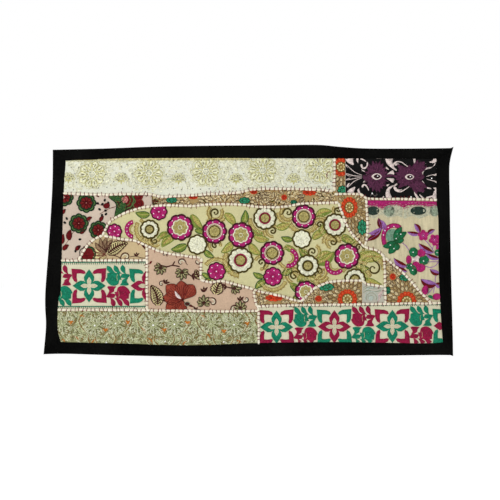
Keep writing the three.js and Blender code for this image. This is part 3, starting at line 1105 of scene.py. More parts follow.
def lace(p, x, z, r, start, stop, share=0.68):
    """A stippled gold band that bends round a scroll or a flower."""
    outer = arc(x, z, r, start, stop, 2.2)
    inner = [x, z] + (outer - [x, z]) * share
    reach = 1 + 0.09 * np.abs(np.sin(np.arange(len(outer)) * 0.8))
    outer = [x, z] + (outer - [x, z]) * reach[:, None]
    p.satin("lace_ground", inner, outer, LOW - 0.1)
    p.line("tan_thread", outer, 1.3, LOW + 0.1)
    p.line("tan_thread", inner, 1.1, LOW + 0.1)
    for at in ((0.33, 0.7) if r * (1 - share) > 6.5 else (0.5,)):
        p.dots("lace_knots", arc(x, z, r * (share + at * (1 - share)), start + 8, stop - 8, 3.9), 1.5,
               LOW + 0.5)
    p.dots("lace_knots", arc(x, z, r * 1.16, start + 3, stop - 3, 4.2), 1.5, LOW + 0.1)


def centre_work():
    p = patch("centre", "centre", "lime_cloth", 11)
    for x, z, r, start, hand in SCROLLS:
        lace(p, x, z, r * 2.0, start - 70, start + 190)
        lace(p, x, z, r * 2.8, start + 20, start + 130, 0.8)
        way = curl(x, z, r * 1.15, 1.05, start, hand, tail=r * 1.2)
        p.line("olive_thread", way, 4.6, MID + 0.1, taper=True)
        p.dots("olive_thread", way[-1:], 2.7, MID + 0.2, sides=8)
    for x, z, r, start, stop in FLOWER_LACE:
        lace(p, x, z, r, start, stop, 0.8)
    for i, (x, z, x1, z1) in enumerate(LEAVES):
        width = 0.46 * math.hypot(x1 - x, z1 - z)
        bend = 0.1 if i % 2 else -0.1
        far = "lime_thread" if i % 3 else "green_thread"
        p.leaf(x, z, x1, z1, width, "lime_thread", far, bend=bend, outline="green_thread", thick=2.4)
        p.slants("green_thread", x, z, x1, z1, width, bend, thick=1.3, reach=0.8)
        p.leaf(x, z, x1, z1, width * 0.14, "peach_thread", bend=bend, up=MID)
    for i, (x, z, x1, z1) in enumerate(DEEP_LEAVES):
        width = 0.48 * math.hypot(x1 - x, z1 - z)
        bend = 0.1 if i % 2 else -0.1
        p.leaf(x, z, x1, z1, width, "green_thread", outline="deep_green_thread", bend=bend, thick=2.0)
        p.slants("deep_green_thread", x, z, x1, z1, width, bend)
        p.leaf(x, z, x1, z1, width * 0.14, "lime_thread", bend=bend, up=MID)
    for x, z, r in DISCS:
        rim = scallops(x, z, r * 0.92, 8, 0.14)
        p.disc("magenta_thread", rim, up=HIGH)
        p.line("plum_line", rim, 3.8, HIGH + 0.1, closed=True)
        rays(p, "crimson_thread", x, z, r * 0.3, r * 0.86, 8, 1.2, HIGH + 0.15)
        p.line("crimson_thread", scallops(x, z, r * 0.24), 1.8, HIGH + 0.3, closed=True)
        sequins(p, x, z, r * 0.62, 6, 20)
        sequins(p, x, z, 0, 1)
    for x, z, r, lobed in ROSETTES:
        rimmed(p, "magenta_thread", x, z, r, 9, 0.13, r * 0.56, "plum_line")
        heart(p, x, z, r * 0.55, lobed)
        sequins(p, x, z, r * 0.79, 9, 20)
    for x, z, r, edge in DAISIES:
        rimmed(p, "white_thread", x, z, r, 11, 0.11, r * 0.52, "olive_thread")
        stipple(p, x, z, r * 0.42)
        p.line(edge, scallops(x, z, r * 0.47, n=30), r * 0.13, HIGH + 0.2, closed=True)
        p.line("olive_thread", scallops(x, z, r * 0.39, n=24), 2.2, HIGH + 0.3, closed=True)
    for x, z, r in PALE_DISCS:
        rim = scallops(x, z, r * 0.95, 8, 0.12)
        p.disc("white_thread", rim, up=HIGH)
        p.line("olive_thread", rim, 4.8, HIGH + 0.2, closed=True)
        rays(p, "grey_thread", x, z, r * 0.35, r * 0.85, 8, 0.9, HIGH + 0.1)
        p.dots("gold_thread", [around(x, z, r * 0.55, 45 * i + 20) for i in range(8)] + [(x, z)], 1.1,
               HIGH + 0.3)
        sequins(p, x, z, r * 0.25, 4, 10, 1.0)
    for x, z, r, first, last in CRESCENTS:
        way = arc(x, z, r, first, last, 1.4)
        swell = 4.2 + 0.8 * np.abs(np.sin(np.arange(len(way)) * 0.75))
        swell[[0, -1]] = 2.0
        crescent(p, way, swell, 1.6)
        p.dots("sequins", arc(x, z, r, first + 12, last - 12, 9.0), 1.3, HIGH + 0.5, sides=8)
        lace(p, x, z, r * 0.72, first + 10, last - 10)


# The star tile bands.


def star_tile(p, x, z, main, other):
    """A four-pointed star of chevrons in one thread, with chevron corners in the other."""
    arm_out = [(9, 9), (14, 12.4), (22.5, 13), (33, 6.5), (41.5, 0), (33, -6.5), (22.5, -13), (14, -12.4),
               (9, -9)]
    arm_in = [(3.4, 3.4), (8, 5), (13, 5.4), (18.5, 2.6), (22, 0), (18.5, -2.6), (13, -5.4), (8, -5),
              (3.4, -3.4)]
    corner_out = [(8.2, 31.5), (11.5, 38), (20, 42.5), (43, 44.5), (41.5, 20), (38, 11.5), (31.5, 8.2)]
    corner_in = [(14, 29.5), (18, 30.5), (22, 31), (30.5, 30.5), (31, 22), (30.5, 18), (29.5, 14)]
    for turn in (0, 90, 180, 270):
        at = lambda points: placed(points, x, z, turn)
        p.satin(main, *ladder(at(arm_out), at(arm_in)), HIGH)
        p.satin(other, *ladder(at(corner_out), at(corner_in)), HIGH)
        # Dark lines down the middle of each arm and corner: painted shade along the parting where the
        # satin changes direction.
        shade_line_main, shade_line_other = ("deep_" + main, "deep_" + other)
        p.line(shade_line_main, even((at(arm_out) + at(arm_in)) / 2, 3), 0.9, HIGH + 0.1)
        p.line(shade_line_other, even((at(corner_out) + at(corner_in)) / 2, 3), 0.9, HIGH + 0.1)
        for edge in blade(*at([(5, 0), (17, 0)]).ravel(), 4)[:2]:
            p.line("tile_line", edge, 1.3, LOW)
        p.line("tile_line", smooth_line(at([(9, 9), (12.5, 23), (7, 33)])), 1.0, LOW)
    p.dots("tile_line", [(x, z)], 1.6, LOW)


def tulip(p, x, z, thread, turn):
    """A bud and two leaves under a spray of three, half of the filling between two stars."""
    at = lambda points: placed(points, x, z, turn)
    shapes = (((-13, 17), [(-27, 32), (-15, 34), (-5, 32), (3, 34), (5, 26), (9, 15), (4, 16), (1, 5),
                           (-7, 0.5), (-17, 1), (-26, 8), (-31, 18), (-28, 20)]),
              ((15, 25), [(5, 21), (11, 30), (27, 29), (29, 25), (24, 20), (14, 19)]),
              ((17, 9), [(4, 1.5), (9, 8), (11, 15), (25, 21), (22, 12), (27, 3), (20, 0.5)]))
    for centre, points in shapes:
        blob(p, thread, at(points), HIGH, centre=at([centre])[0])
    for x0, z0, x1, z1, width in ((-2, 30, -27, 50, 12.5), (11, 29, -9, 51, 12), (22, 27, 11, 52, 12.5)):
        a, b, _ = blade(*at([(x0, z0), (x1, z1)]).ravel(), width, 0.12, 1.8)
        p.satin(thread, a, b, HIGH)
        p.line("deep_" + thread, (a + b)[2:-2] / 2, 1.1, HIGH + 0.1, taper=True)
    for way in ([(-26, 29), (-20, 20), (-16, 8)], [(-15, 31), (-12, 20), (-12, 6)],
                [(-4, 29), (-5, 18), (-8, 6)], [(8, 23), (17, 25), (27, 27)], [(9, 4), (16, 8), (22, 14)],
                [(12, 3), (18, 4), (24, 5)]):
        p.line("deep_" + thread, smooth_line(at(way)), 1.3, HIGH + 0.15, taper=True)
    p.line("tile_line", smooth_line(at([(0, 30), (-3, 23), (-1, 12)])), 1.5, HIGH + 0.2, taper=True)


def picot_line(p, path, up_side):
    """A teal line with short upright stitches along it."""
    p.line("teal_thread", path, 2.4, MID)
    for spot in path[1:-1:2]:
        p.line("deep_teal_thread", np.array([spot - [0, 1.5 * up_side], spot + [1.2, 5.4 * up_side]]), 1.7,
               HIGH)


TILE = 144.5  # from one star to the next
COLOURS = ("teal_thread", "crimson_thread")


def tile_band(p, x, z, first, count, slope=0.0):
    """Stars at even distances, their colours changing over, with a pair of tulips after each."""
    for i in range(-1, count):
        main, other = COLOURS[(first + i) % 2], COLOURS[(first + i + 1) % 2]
        cx, cz = x + i * TILE, z + i * slope
        star_tile(p, cx, cz, main, other)
        tulip(p, cx + TILE / 2, cz, main, 0)
        tulip(p, cx + TILE / 2, cz, other, 180)


def tile_work():
    p = patch("tile_left", "tile", "tile_cloth", 21, calm=0.7)
    tile_band(p, -398, -351, 0, 2)
    picot_line(p, even(np.array([(-474, -292.5), (-256, -291.5)]), 2.6), -1)
    picot_line(p, even(np.array([(-478, -402.5), (-256, -402)]), 2.6), -0.7)
    p = patch("tile_right", "tile", "tile_cloth", 22, calm=0.7)
    tile_band(p, 70, -454, 0, 4, 1.0)
    picot_line(p, even(np.array([(100, -402), (200, -400.5), (484, -397)]), 2.6), -0.5)


# The ivory brocade: ten-petalled flowers, fans and filigree, all of one pale colour, with small beads.


def ivory_petal(p, x, z, r, start, stop, angle, width, thick=2.2):
    """A pale petal with an outline and a dark slit."""
    base, tip = around(x, z, r * start, angle), around(x, z, r * stop, angle)
    p.leaf(*base, *tip, width, "ivory_fill", bend=0, up=MID, outline="ivory_line", fat=1.7, thick=thick)
    slit = ray(x, z, r * (start + (stop - start) * 0.35), r * (start + (stop - start) * 0.68), angle)
    p.line("olive_thread", slit, 2.1, MID + 0.25)


def ivory_flower(p, x, z, r, seed):
    rng = np.random.default_rng(seed)
    for i in range(10):
        ivory_petal(p, x, z, r, 0.3, rng.uniform(0.95, 1.06), 36 * i + rng.uniform(-4, 4), r * 0.5)
    p.line("ivory_line", scallops(x, z, r * 1.12, 10, 0.14), 1.4, LOW, closed=True)
    p.disc("white_thread", scallops(x, z, r * 0.3, 8, 0.15), up=MID)
    p.line("ivory_line", scallops(x, z, r * 0.3), 1.8, MID + 0.2, closed=True)
    p.line("grey_thread", scallops(x, z, r * 0.16), 1.6, MID + 0.2, closed=True)
    p.dots("dark_beads", [around(x, z, r * 0.19, 120 * i) for i in range(3)], 1.2, HIGH)


def ivory_fan(p, x, z, r):
    for turn in (10, 42, 74, 106, 138, 170):
        ivory_petal(p, x, z - r * 0.3, r, 0.2, 1.0, turn, r * 0.4, 1.3)
    for turn in (-150, -90, -30):
        p.leaf(x, z - r * 0.3, *around(x, z - r * 0.3, r * 0.6, turn), r * 0.25, "ivory_line", bend=0,
               up=LOW)


def ivory_work():
    p = patch("ivory", "ivory", "ivory_brocade", 31, calm=0.8)
    flowers = [(-391 + 142.25 * i, -72 + 3.3 * i, 34) for i in range(5)]
    fans = [(-450, -80, 18), (-318, -81, 19), (-175, -82, 19), (-31, -82, 19), (113, -82, 19)]
    clear = [(x, z, r + 2) for x, z, r in flowers + fans]
    rng = np.random.default_rng(33)
    for x, z in scatter(p, 8.0, 32, clear, margin=4):
        if z < -108 + 6 * math.sin(x / 30):
            continue
        angle = 90 + 150 * float(waves(x, z, 70, 34)) + rng.uniform(-25, 25)
        x1, z1 = around(x, z, rng.uniform(8, 12), angle)
        p.leaf(x, z, x1, z1, rng.uniform(3.6, 5.4), "white_thread", bend=rng.uniform(-0.2, 0.2), up=MID)
        if rng.uniform() < 0.3:
            p.line("ivory_line", curl(x, z, 4.6, 0.9, angle, 1), 1.2, LOW)
        elif rng.uniform() < 0.5:
            # A grey line along one side of the leaf: a painted shadow edge.
            p.line("ash_ground", side_of(smooth_line([(x, z), (x1, z1)]), 2.4), 1.2, LOW)
    for x, z, r in flowers:
        ivory_flower(p, x, z, r, int(x) % 97)
    for x, z, r in fans:
        ivory_fan(p, x, z, r)
    beads = scatter(p, 21, 35, margin=6)
    p.dots("dark_beads", beads[beads[:, 1] > -112], 1.5, HIGH + 0.2)
    lip = np.array([(x, -34.5 + 0.004 * (x + 460)) for x in np.arange(-462, 5, 2.2)])
    p.line("cream_thread", lip, 3.6, MID)
    p.line("gold_thread", lip - [0, 2.6], 1.6, MID)
    for i in range(0, len(lip), 4):
        p.line("ivory_line", arc(*(lip[i] - [0, 2.5]), 3.4, 180, 360), 1.5, MID)
    p.line("couching_thread", smooth_line([(204, -64), (198, -68), (195, -76), (197, -82)]), 2.0, TOP)


# The vine cloth: flowers with an orange or teal ring, in dense feathery petals.

# Columns: patch, x, z, half width, half height.
ORANGE_RINGS = [("vine_column", 231, -54, 22, 24), ("vine_side", 252, -155, 21, 26.5),
                ("vine_arch", 247, -384, 25, 25), ("gusset", 395, -389, 24.5, 24.5)]
ORANGE_SPOTS = [("vine_arch", 174.7, -383, 9, 8), ("gusset", 360, -328, 8, 8.5),
                ("vine_foot", 64, -381, 23, 9), ("vine_strip", -138, -130, 12, 5),
                ("vine_strip", 13, -117, 9, 5.5), ("vine_strip", 89, -130, 7.5, 7.5),
                ("vine_strip", 152, -118, 18, 8)]
TEAL_SPOTS = [("vine_column", 234.6, -113, 12, 12), ("vine_side", 284, -205, 11.5, 19),
              ("vine_arch", 194, -354, 20, 9.5), ("gusset", 391, -330, 15, 9), ("gusset", 348, -362, 6, 9),
              ("vine_strip", -192, -137, 14, 7), ("vine_strip", -10, -138, 14, 8),
              ("vine_strip", 113, -142, 8, 5)]


def vine_ring(p, x, z, half_x, half_z):
    """An orange ring of petals round a stippled heart, and a sunburst of petals about it."""
    size = lambda points, share: placed((np.asarray(points) * [half_x, half_z]) * share, x, z)
    for ring, count in ((1.03, 20), (1.5, 26), (2.0, 32)):
        for i in range(count):
            turn = 360 * (i + (0.5 if ring == 1.5 else 0)) / count
            base, tip = size([around(0, 0, ring, turn), around(0, 0, ring + 0.54, turn)], 1)
            if p.depth(base) > 1 and p.depth((base + tip) / 2) > 1:
                thread = ("vine_petal", "vine_fill")[(i + int(ring * 2)) % 3 == 0]
                p.leaf(*base, *tip, half_x * 0.32, thread, bend=0.04, up=MID, outline="brown_thread",
                       fat=1.2, thick=1.3)
                p.line("vine_fill", base + (tip - base) * np.array([[0.25], [0.8]]), 1.2, MID + 0.15)
    circle = scallops(0, 0, 1, 14, 0.14, n=84)
    hole = scallops(0, 0, 1, n=84)
    p.satin("orange_thread", size(hole, 0.54), size(circle, 1), HIGH, closed=True)
    for i in range(14):
        turn = math.radians(360 * (i + 0.5) / 14)
        way = np.array([(math.cos(turn) * k, math.sin(turn) * k) for k in (0.6, 0.98)])
        p.line("red_thread", size(way, 1), 1.1, HIGH + 0.15)
        p.dots("peach_thread", size([(math.cos(turn + 0.22) * 0.78, math.sin(turn + 0.22) * 0.78)], 1),
               1.2, HIGH + 0.3)
    p.disc("tan_thread", size(hole, 0.56), up=LOW)
    p.line("olive_thread", size(hole, 0.5), 1.6, MID, closed=True)
    for i in range(9):
        spot = size([around(0, 0, 0.37, 40 * i)], 1)[0]
        p.dots("cream_thread", [spot], half_x * 0.12, HIGH, sides=8)
        if i % 2:
            p.dots("gold_thread", size([around(0, 0, 0.19, 80 * i)], 1), 1.3, HIGH)
    p.dots("cream_thread", [(x, z)], half_x * 0.1, HIGH, sides=8)


def vine_spot(p, x, z, half_x, half_z, lobes, bite, thread, dark, turn, reach, thick, rings=False):
    """A small flower with a dark ray in each lobe, and with dark rings if asked."""
    size = lambda points: placed(points * [half_x, half_z], x, z)
    rim = size(scallops(0, 0, 1, lobes, bite, n=lobes * 6))
    p.disc(thread, rim, up=HIGH)
    if rings:
        p.line(dark, rim, 2.2, HIGH + 0.1, closed=True)
    for i in range(lobes):
        p.line(dark, size(ray(0, 0, *reach, 360 / lobes * i + turn)), thick, HIGH + 0.1)
    if rings:
        p.line(dark, size(scallops(0, 0, 0.5, 6, 0.2, n=30)), 1.5, HIGH + 0.2, closed=True)


def feather(p, x, z, angle, kind):
    """One of the small petals that fill the vine cloth."""
    x1, z1 = around(x, z, 13.0, angle)
    if kind < 0.6:
        p.leaf(x, z, x1, z1, 7.4, "vine_petal", bend=0.12, up=LOW, outline="brown_thread", fat=1.2,
               thick=1.3)
        p.line("vine_fill", ray(x, z, 4, 9, angle), 1.5, MID)
    elif kind < 0.8:
        p.leaf(x, z, x1, z1, 6.0, "vine_fill", bend=-0.15, up=LOW, outline="vine_petal", fat=1.0,
               thick=1.6)
    elif kind < 0.92:
        p.leaf(x, z, x1, z1, 4.6, "olive_thread", bend=0.2, up=LOW)
        p.line("vine_petal", np.array([(x, z), around(x, z, 8, angle)]), 1.8, MID)
    else:
        p.line("vine_petal", curl(x, z, 5.2, 0.8, angle, 1, tail=3), 2.0, LOW)


def vine_work():
    for number, name in enumerate(["vine_strip", "vine_column", "vine_side", "vine_foot", "vine_arch",
                                   "gusset"]):
        p = patch(name, "vine", "vine_cloth", 41 + number)
        rings = [row[1:] for row in ORANGE_RINGS if row[0] == name]
        spots = [row[1:] for row in ORANGE_SPOTS if row[0] == name]
        teals = [row[1:] for row in TEAL_SPOTS if row[0] == name]
        clear = [(x, z, 2.3 * max(a, b)) for x, z, a, b in rings]
        clear += [(x, z, 0.9 * (a + b) / 2 + 1) for x, z, a, b in spots + teals]
        rng = np.random.default_rng(60 + number)
        for x, z in scatter(p, 7.6, 70 + number, clear, margin=2.4):
            near = min(spots + teals + rings, key=lambda s: math.hypot(s[0] - x, s[1] - z))
            away = math.degrees(math.atan2(z - near[1], x - near[0]))
            distance = math.hypot(near[0] - x, near[1] - z)
            flow = 200 * float(waves(x, z, 60, 45))
            angle = away if distance < near[2] + near[3] else flow
            feather(p, x, z, angle + rng.uniform(-20, 20), rng.uniform())
        for row in rings:
            vine_ring(p, *row)
        for row in spots:
            vine_spot(p, *row, 9, 0.22, "orange_thread", "red_thread", 20, (0.25, 0.85), 1.7)
        for row in teals:
            vine_spot(p, *row, 8, 0.2, "vine_teal", "bottle_thread", 22, (0.3, 0.8), 1.9, rings=True)
    p = PATCHES["vine_strip"]
    for turn in (40, 75, 110):
        p.leaf(-236, -148, *around(-236, -148, 15, turn), 8, "red_thread", up=MID,
               outline="deep_green_thread")


# The blush patch: dark red flowers edged in green, seeds and buds.

# Columns: x, z, radius.
RED_FLOWERS = [(-405, -144, 23.5), (-424, -195, 23.5), (-375, -212, 22.5), (-459, -130, 21)]
SEEDS = [(-377, -145), (-365, -147), (-359, -137), (-350, -144), (-372, -160), (-357, -163), (-356, -172),
         (-366, -175), (-454, -183), (-459, -193), (-421, -235), (-423, -254), (-432, -264)]
# Columns: x, z of the base, x, z of the tip.
RED_BUDS = [(-404, -188, -391, -180), (-370, -190, -362, -177), (-420, -221, -406, -211),
            (-447, -237, -444, -211), (-463, -262, -449, -249), (-431, -263, -419, -251),
            (-387, -117, -374, -129), (-424, -123, -413, -117), (-257, -127, -249, -121),
            (-465, -246, -462, -222), (-465, -172, -457, -160)]


def red_flower(p, x, z, r):
    rim = scallops(x, z, r, 8, 0.19)
    p.disc("flower_green", rim, up=LOW)
    p.line("bottle_thread", rim, 3.8, MID + 0.1, closed=True)
    p.line("bottle_thread", scallops(x, z, r * 0.72, 8, 0.18), 3.8, HIGH + 0.2, closed=True)
    rays(p, "bottle_thread", x, z, r * 0.6, r * 0.9, 8, 2.4, MID + 0.1)
    p.disc("red_thread", scallops(x, z, r * 0.64, 8, 0.14), up=HIGH)
    for i in range(8):
        turn = 45 * (i + 0.5)
        p.line("ox_thread", ray(x, z, r * 0.1, r * 0.64, turn), 2.4, HIGH + 0.15)
        p.line("brick_thread", ray(x, z, r * 0.3, r * 0.52, turn + 14), 1.1, HIGH + 0.15)
    p.dots("rose_thread", [(x, z)], 1.7, HIGH + 0.4)


def blush_work():
    p = patch("blush", "blush", "blush_cloth", 81)
    stems(p, "red_thread", ([(-384, -146), (-358, -152), (-344, -157), (-330, -152)],
                            [(-462, -255), (-452, -240), (-436, -214)],
                            [(-372, -172), (-352, -160), (-336, -154)], [(-404, -200), (-396, -188)]), 1.4,
          LOW)
    for x, z, r in RED_FLOWERS:
        red_flower(p, x, z, r)
    for i, (x, z) in enumerate(SEEDS):
        oval(p, "black_thread", x, z, 4.0, 2.9, MID, turn=37 * i)
    for x, z, x1, z1 in RED_BUDS:
        p.leaf(x, z, x1, z1, 0.5 * math.hypot(x1 - x, z1 - z) + 1, "red_thread", up=MID,
               outline="brown_thread")
    oval(p, "red_thread", -354.5, -151, 8, 6.5, HIGH, turn=20, outline="brown_thread")
    p.dots("brown_thread", [(-356, -150), (-352, -152)], 1.2, HIGH + 0.4)
    for x, z, r in ((-276, -126, 13), (-274, -146, 13), (-285, -162, 12), (-301, -169, 9)):
        p.disc("red_thread", scallops(x, z, r), up=HIGH)
        p.line("ox_thread", arc(x, z, r * 0.6, -110, 60), 2.0, HIGH + 0.2)
        p.line("brick_thread", arc(x, z, r * 0.86, -110, 60), 1.4, HIGH + 0.2)
    p.disc("red_thread", [(-309, -137)] + (scallops(0, 0, 26, 8, 0.1) * [1, 0.95]), up=HIGH)
    for reach, thread, width in ((25.5, "bottle_thread", 2.6), (22.5, "flower_green", 3.4),
                                 (19.5, "bottle_thread", 1.6), (14.5, "flower_green", 2.6)):
        p.line(thread, scallops(-309, -137, reach, 8, 0.1), width, HIGH + 0.15, closed=True)
    rays(p, "ox_thread", -309, -137, 9, 18, 8, 2.0, HIGH + 0.1)
    edge = smooth_line([(-292, -112), (-284, -122), (-288, -130), (-282, -140), (-288, -148), (-285, -158),
                        (-294, -160), (-297, -170), (-306, -168)])
    p.line("flower_green", edge, 2.6, HIGH + 0.2)
    for x, z, x1, z1, width, bend in ((-311, -134, -348, -130, 27, -0.06),
                                      (-312, -141, -334, -179, 24, 0.08)):
        p.leaf(x, z, x1, z1, width, "deep_green_thread", bend=bend, up=HIGH + 0.2, fat=0.75,
               outline="bottle_thread", thick=2.4)
        a, _, rib = blade(x, z, x1, z1, width, bend, 0.75)
        for share in (-0.7, -0.35, 0, 0.35, 0.7):
            p.line("flower_green", (rib + (a - rib) * share)[1:-1], 1.5, HIGH + 0.5)
    p.disc("rose_thread", scallops(-309, -136, 8.5, 7, 0.14), up=TOP)
    p.line("red_thread", scallops(-309, -136, 4.2), 1.4, TOP + 0.2, closed=True)


# The fawn patch and the brick flower's patch: printed-looking leaves with brown veins.


def veined_leaf(p, x, z, x1, z1, width, bend=0.08):
    """A cream leaf with a notched brown edge and brown veins."""
    a, b, rib = blade(x, z, x1, z1, width, bend, 0.7)
    notch = 1 + 0.1 * np.sin(np.arange(len(a)) * 1.9)[:, None]
    a, b = rib + (a - rib) * notch, rib + (b - rib) * notch
    p.satin("cream_thread", a, b, MID)
    for edge in (a, b):
        p.line("brown_thread", edge, 2.9, MID + 0.2)
    p.line("brown_thread", rib[:-2], 5.0, MID + 0.3, taper=True)
    for i in range(2, len(rib) - 4, 3):
        for edge in (a, b):
            j = i + 3
            p.line("brown_thread", np.array([rib[i], rib[j] + (edge[j] - rib[j]) * 0.66]), 3.3, MID + 0.2)


def leaf_cluster(p, x, z, r, turn):
    """Seven narrow olive leaves spread like a hand."""
    r *= 1.15
    for angle in (-110, -75, -38, 0, 38, 75, 110):
        x1, z1 = around(x, z, r * (1 - abs(angle) / 400), turn + angle)
        p.leaf(x, z, x1, z1, r * 0.44, "olive_leaf", bend=0.05, up=MID, outline="brown_thread", fat=0.9,
               thick=1.9)
        p.line("cream_thread", ray(x, z, r * 0.3, r * 0.75, turn + angle), 1.5, MID + 0.4)


def brown_bud(p, x, z, r, turn):
    for angle in (-42, 0, 42):
        p.leaf(x, z, *around(x, z, r * 1.15, turn + angle), r * 0.5, "brown_thread", up=MID)
    p.dots("cream_thread", [around(x, z, r * 0.5, turn + 15)], 0.9, MID + 0.3)


def brown_scroll(p, x, z, r, start, hand):
    way = curl(x, z, r * 1.15, 0.9, start, hand, tail=r * 0.9)
    p.line("brown_thread", way, 3.0, MID, taper=True)
    p.line("white_thread", curl(x, z, r * 0.78, 0.7, start, hand), 2.2, MID)


def fawn_work():
    p = patch("fawn", "fawn", "fawn_cloth", 91)
    for x1, z1 in ((-383, -243), (-370, -232), (-354, -229), (-340, -236)):
        p.leaf(-355, -267, x1, z1, 13, "taupe_thread", up=MID, outline="brown_thread", fat=0.9)
        p.line("brown_thread", np.array([(-355, -265), ((3 * x1 - 355) / 4, (3 * z1 - 265) / 4)]), 2.2,
               HIGH)
    veined_leaf(p, -352, -271, -302, -244, 30)
    for x1, z1 in ((-388, -266), (-390, -278), (-377, -286), (-385, -256)):
        p.leaf(-356, -273, x1, z1, 11, "cream_thread", up=MID, outline="brick_brown")
        p.line("brick_brown", np.array([(-358, -273), ((4 * x1 - 356) / 5, (4 * z1 - 273) / 5)]), 2.6,
               HIGH)
    brown_scroll(p, -306, -279, 11, 170, -1)
    p.line("brown_thread", smooth_line([(-352, -272), (-330, -277), (-318, -283)]), 2.2, MID)
    p.line("brown_thread", smooth_line([(-296, -279), (-283, -277), (-268, -281), (-258, -282)]), 1.8, MID)
    brown_bud(p, -279, -277, 9, 90)
    p.leaf(-268, -247, -258, -261, 5.5, "brown_thread", up=MID, rib="cream_thread")
    red = PATCHES["blush"]
    for host in (p, red):
        x, z, r = -402, -272, 21
        host.disc("deep_green_thread", scallops(x, z, r, 7, 0.14), up=MID)
        host.disc("red_thread", scallops(x, z, r * 0.8, 7, 0.12), centre=(x - 2, z - 2), up=HIGH)
        host.line("black_thread", scallops(x, z, r * 0.99, 7, 0.14), 2.2, HIGH, closed=True)


def brick_work():
    p = patch("brick", "brick", "rose_cloth", 95)
    stems(p, "brown_thread", ([(-230, -296), (-206, -303), (-190, -300), (-172, -303)],
                              [(-190, -300), (-184, -290)], [(-152, -320), (-140, -328), (-128, -330)],
                              [(-226, -384), (-205, -390)], [(-112, -378), (-112, -392)],
                              [(-60, -352), (-46, -356), (-30, -358)]), 3.4, LOW + 0.2)
    for x, z, r, turn in ((-219, -305, 18, 240), (-166, -316, 19, 262), (-112, -395, 19, 88),
                          (-20, -407, 18, 90), (-36, -357, 17, -4)):
        leaf_cluster(p, x, z, r, turn)
    for x, z, r, turn in ((-208, -346, 11, 60), (-109, -366, 12, 100), (-19, -388, 11, 95),
                          (-142, -325, 12, -25), (-56, -350, 11, 200), (-132, -414, 10, 60)):
        brown_bud(p, x, z, r, turn)
    for x, z, r, start, hand in ((-168, -293, 10, 10, 1), (-127, -289, 11, 60, -1),
                                 (-90, -392, 10, 100, -1), (-6, -384, 8, 200, 1), (-217, -346, 6, 90, 1),
                                 (-210, -273, 5, 0, 1), (-36, -410, 10, 60, 1)):
        brown_scroll(p, x, z, r, start, hand)
    veined_leaf(p, -226, -400, -244, -350, 30, -0.1)
    veined_leaf(p, -82, -372, -70, -340, 30, 0.05)
    veined_leaf(p, -120, -332, -132, -311, 17)
    p.leaf(-247, -297, -240, -289, 5, "red_thread", up=MID)
    for x1, z1, width in ((-137, -349, 34), (-169, -339, 32), (-205, -349, 33), (-212, -379, 32),
                          (-206, -408, 30), (-172, -414, 30)):
        p.leaf(-163, -386, x1, z1, width, "brick_thread", bend=0, up=HIGH, fat=1.5)
        a, b, rib = blade(-163, -386, x1, z1, width, 0, 1.5)
        for edge in (a, b):
            p.line("ox_thread", edge, 1.5, HIGH + 0.2)
        for share in (-0.66, -0.33, 0, 0.33, 0.66):
            p.line("red_thread", (rib + (a - rib) * share)[3:-2], 1.4, HIGH + 0.15, taper=True)
    p.leaf(-168, -383, -184, -363, 8, "pale_ground", up=TOP + 0.3)
    oval(p, "brown_thread", -153, -396, 6.5, 5, TOP, outline="grey_thread")
    p.line("brown_thread", smooth_line([(-148, -398), (-140, -402), (-131, -408)]), 3.2, MID)
    p.leaf(-150, -400, -138, -404, 6, "red_thread", up=MID)


# The damask: black scrolls and palmettes round two purple rosettes.


def horn(p, thread, points, start, stop, up=HIGH):
    """A curved shape that narrows from one width to another."""
    way = smooth_line(points)
    half = np.linspace(start, stop, len(way)) / 2
    half[[0, -1]] *= 0.6
    p.satin(thread, side_of(way, half), side_of(way, -half), up, crown="flat")


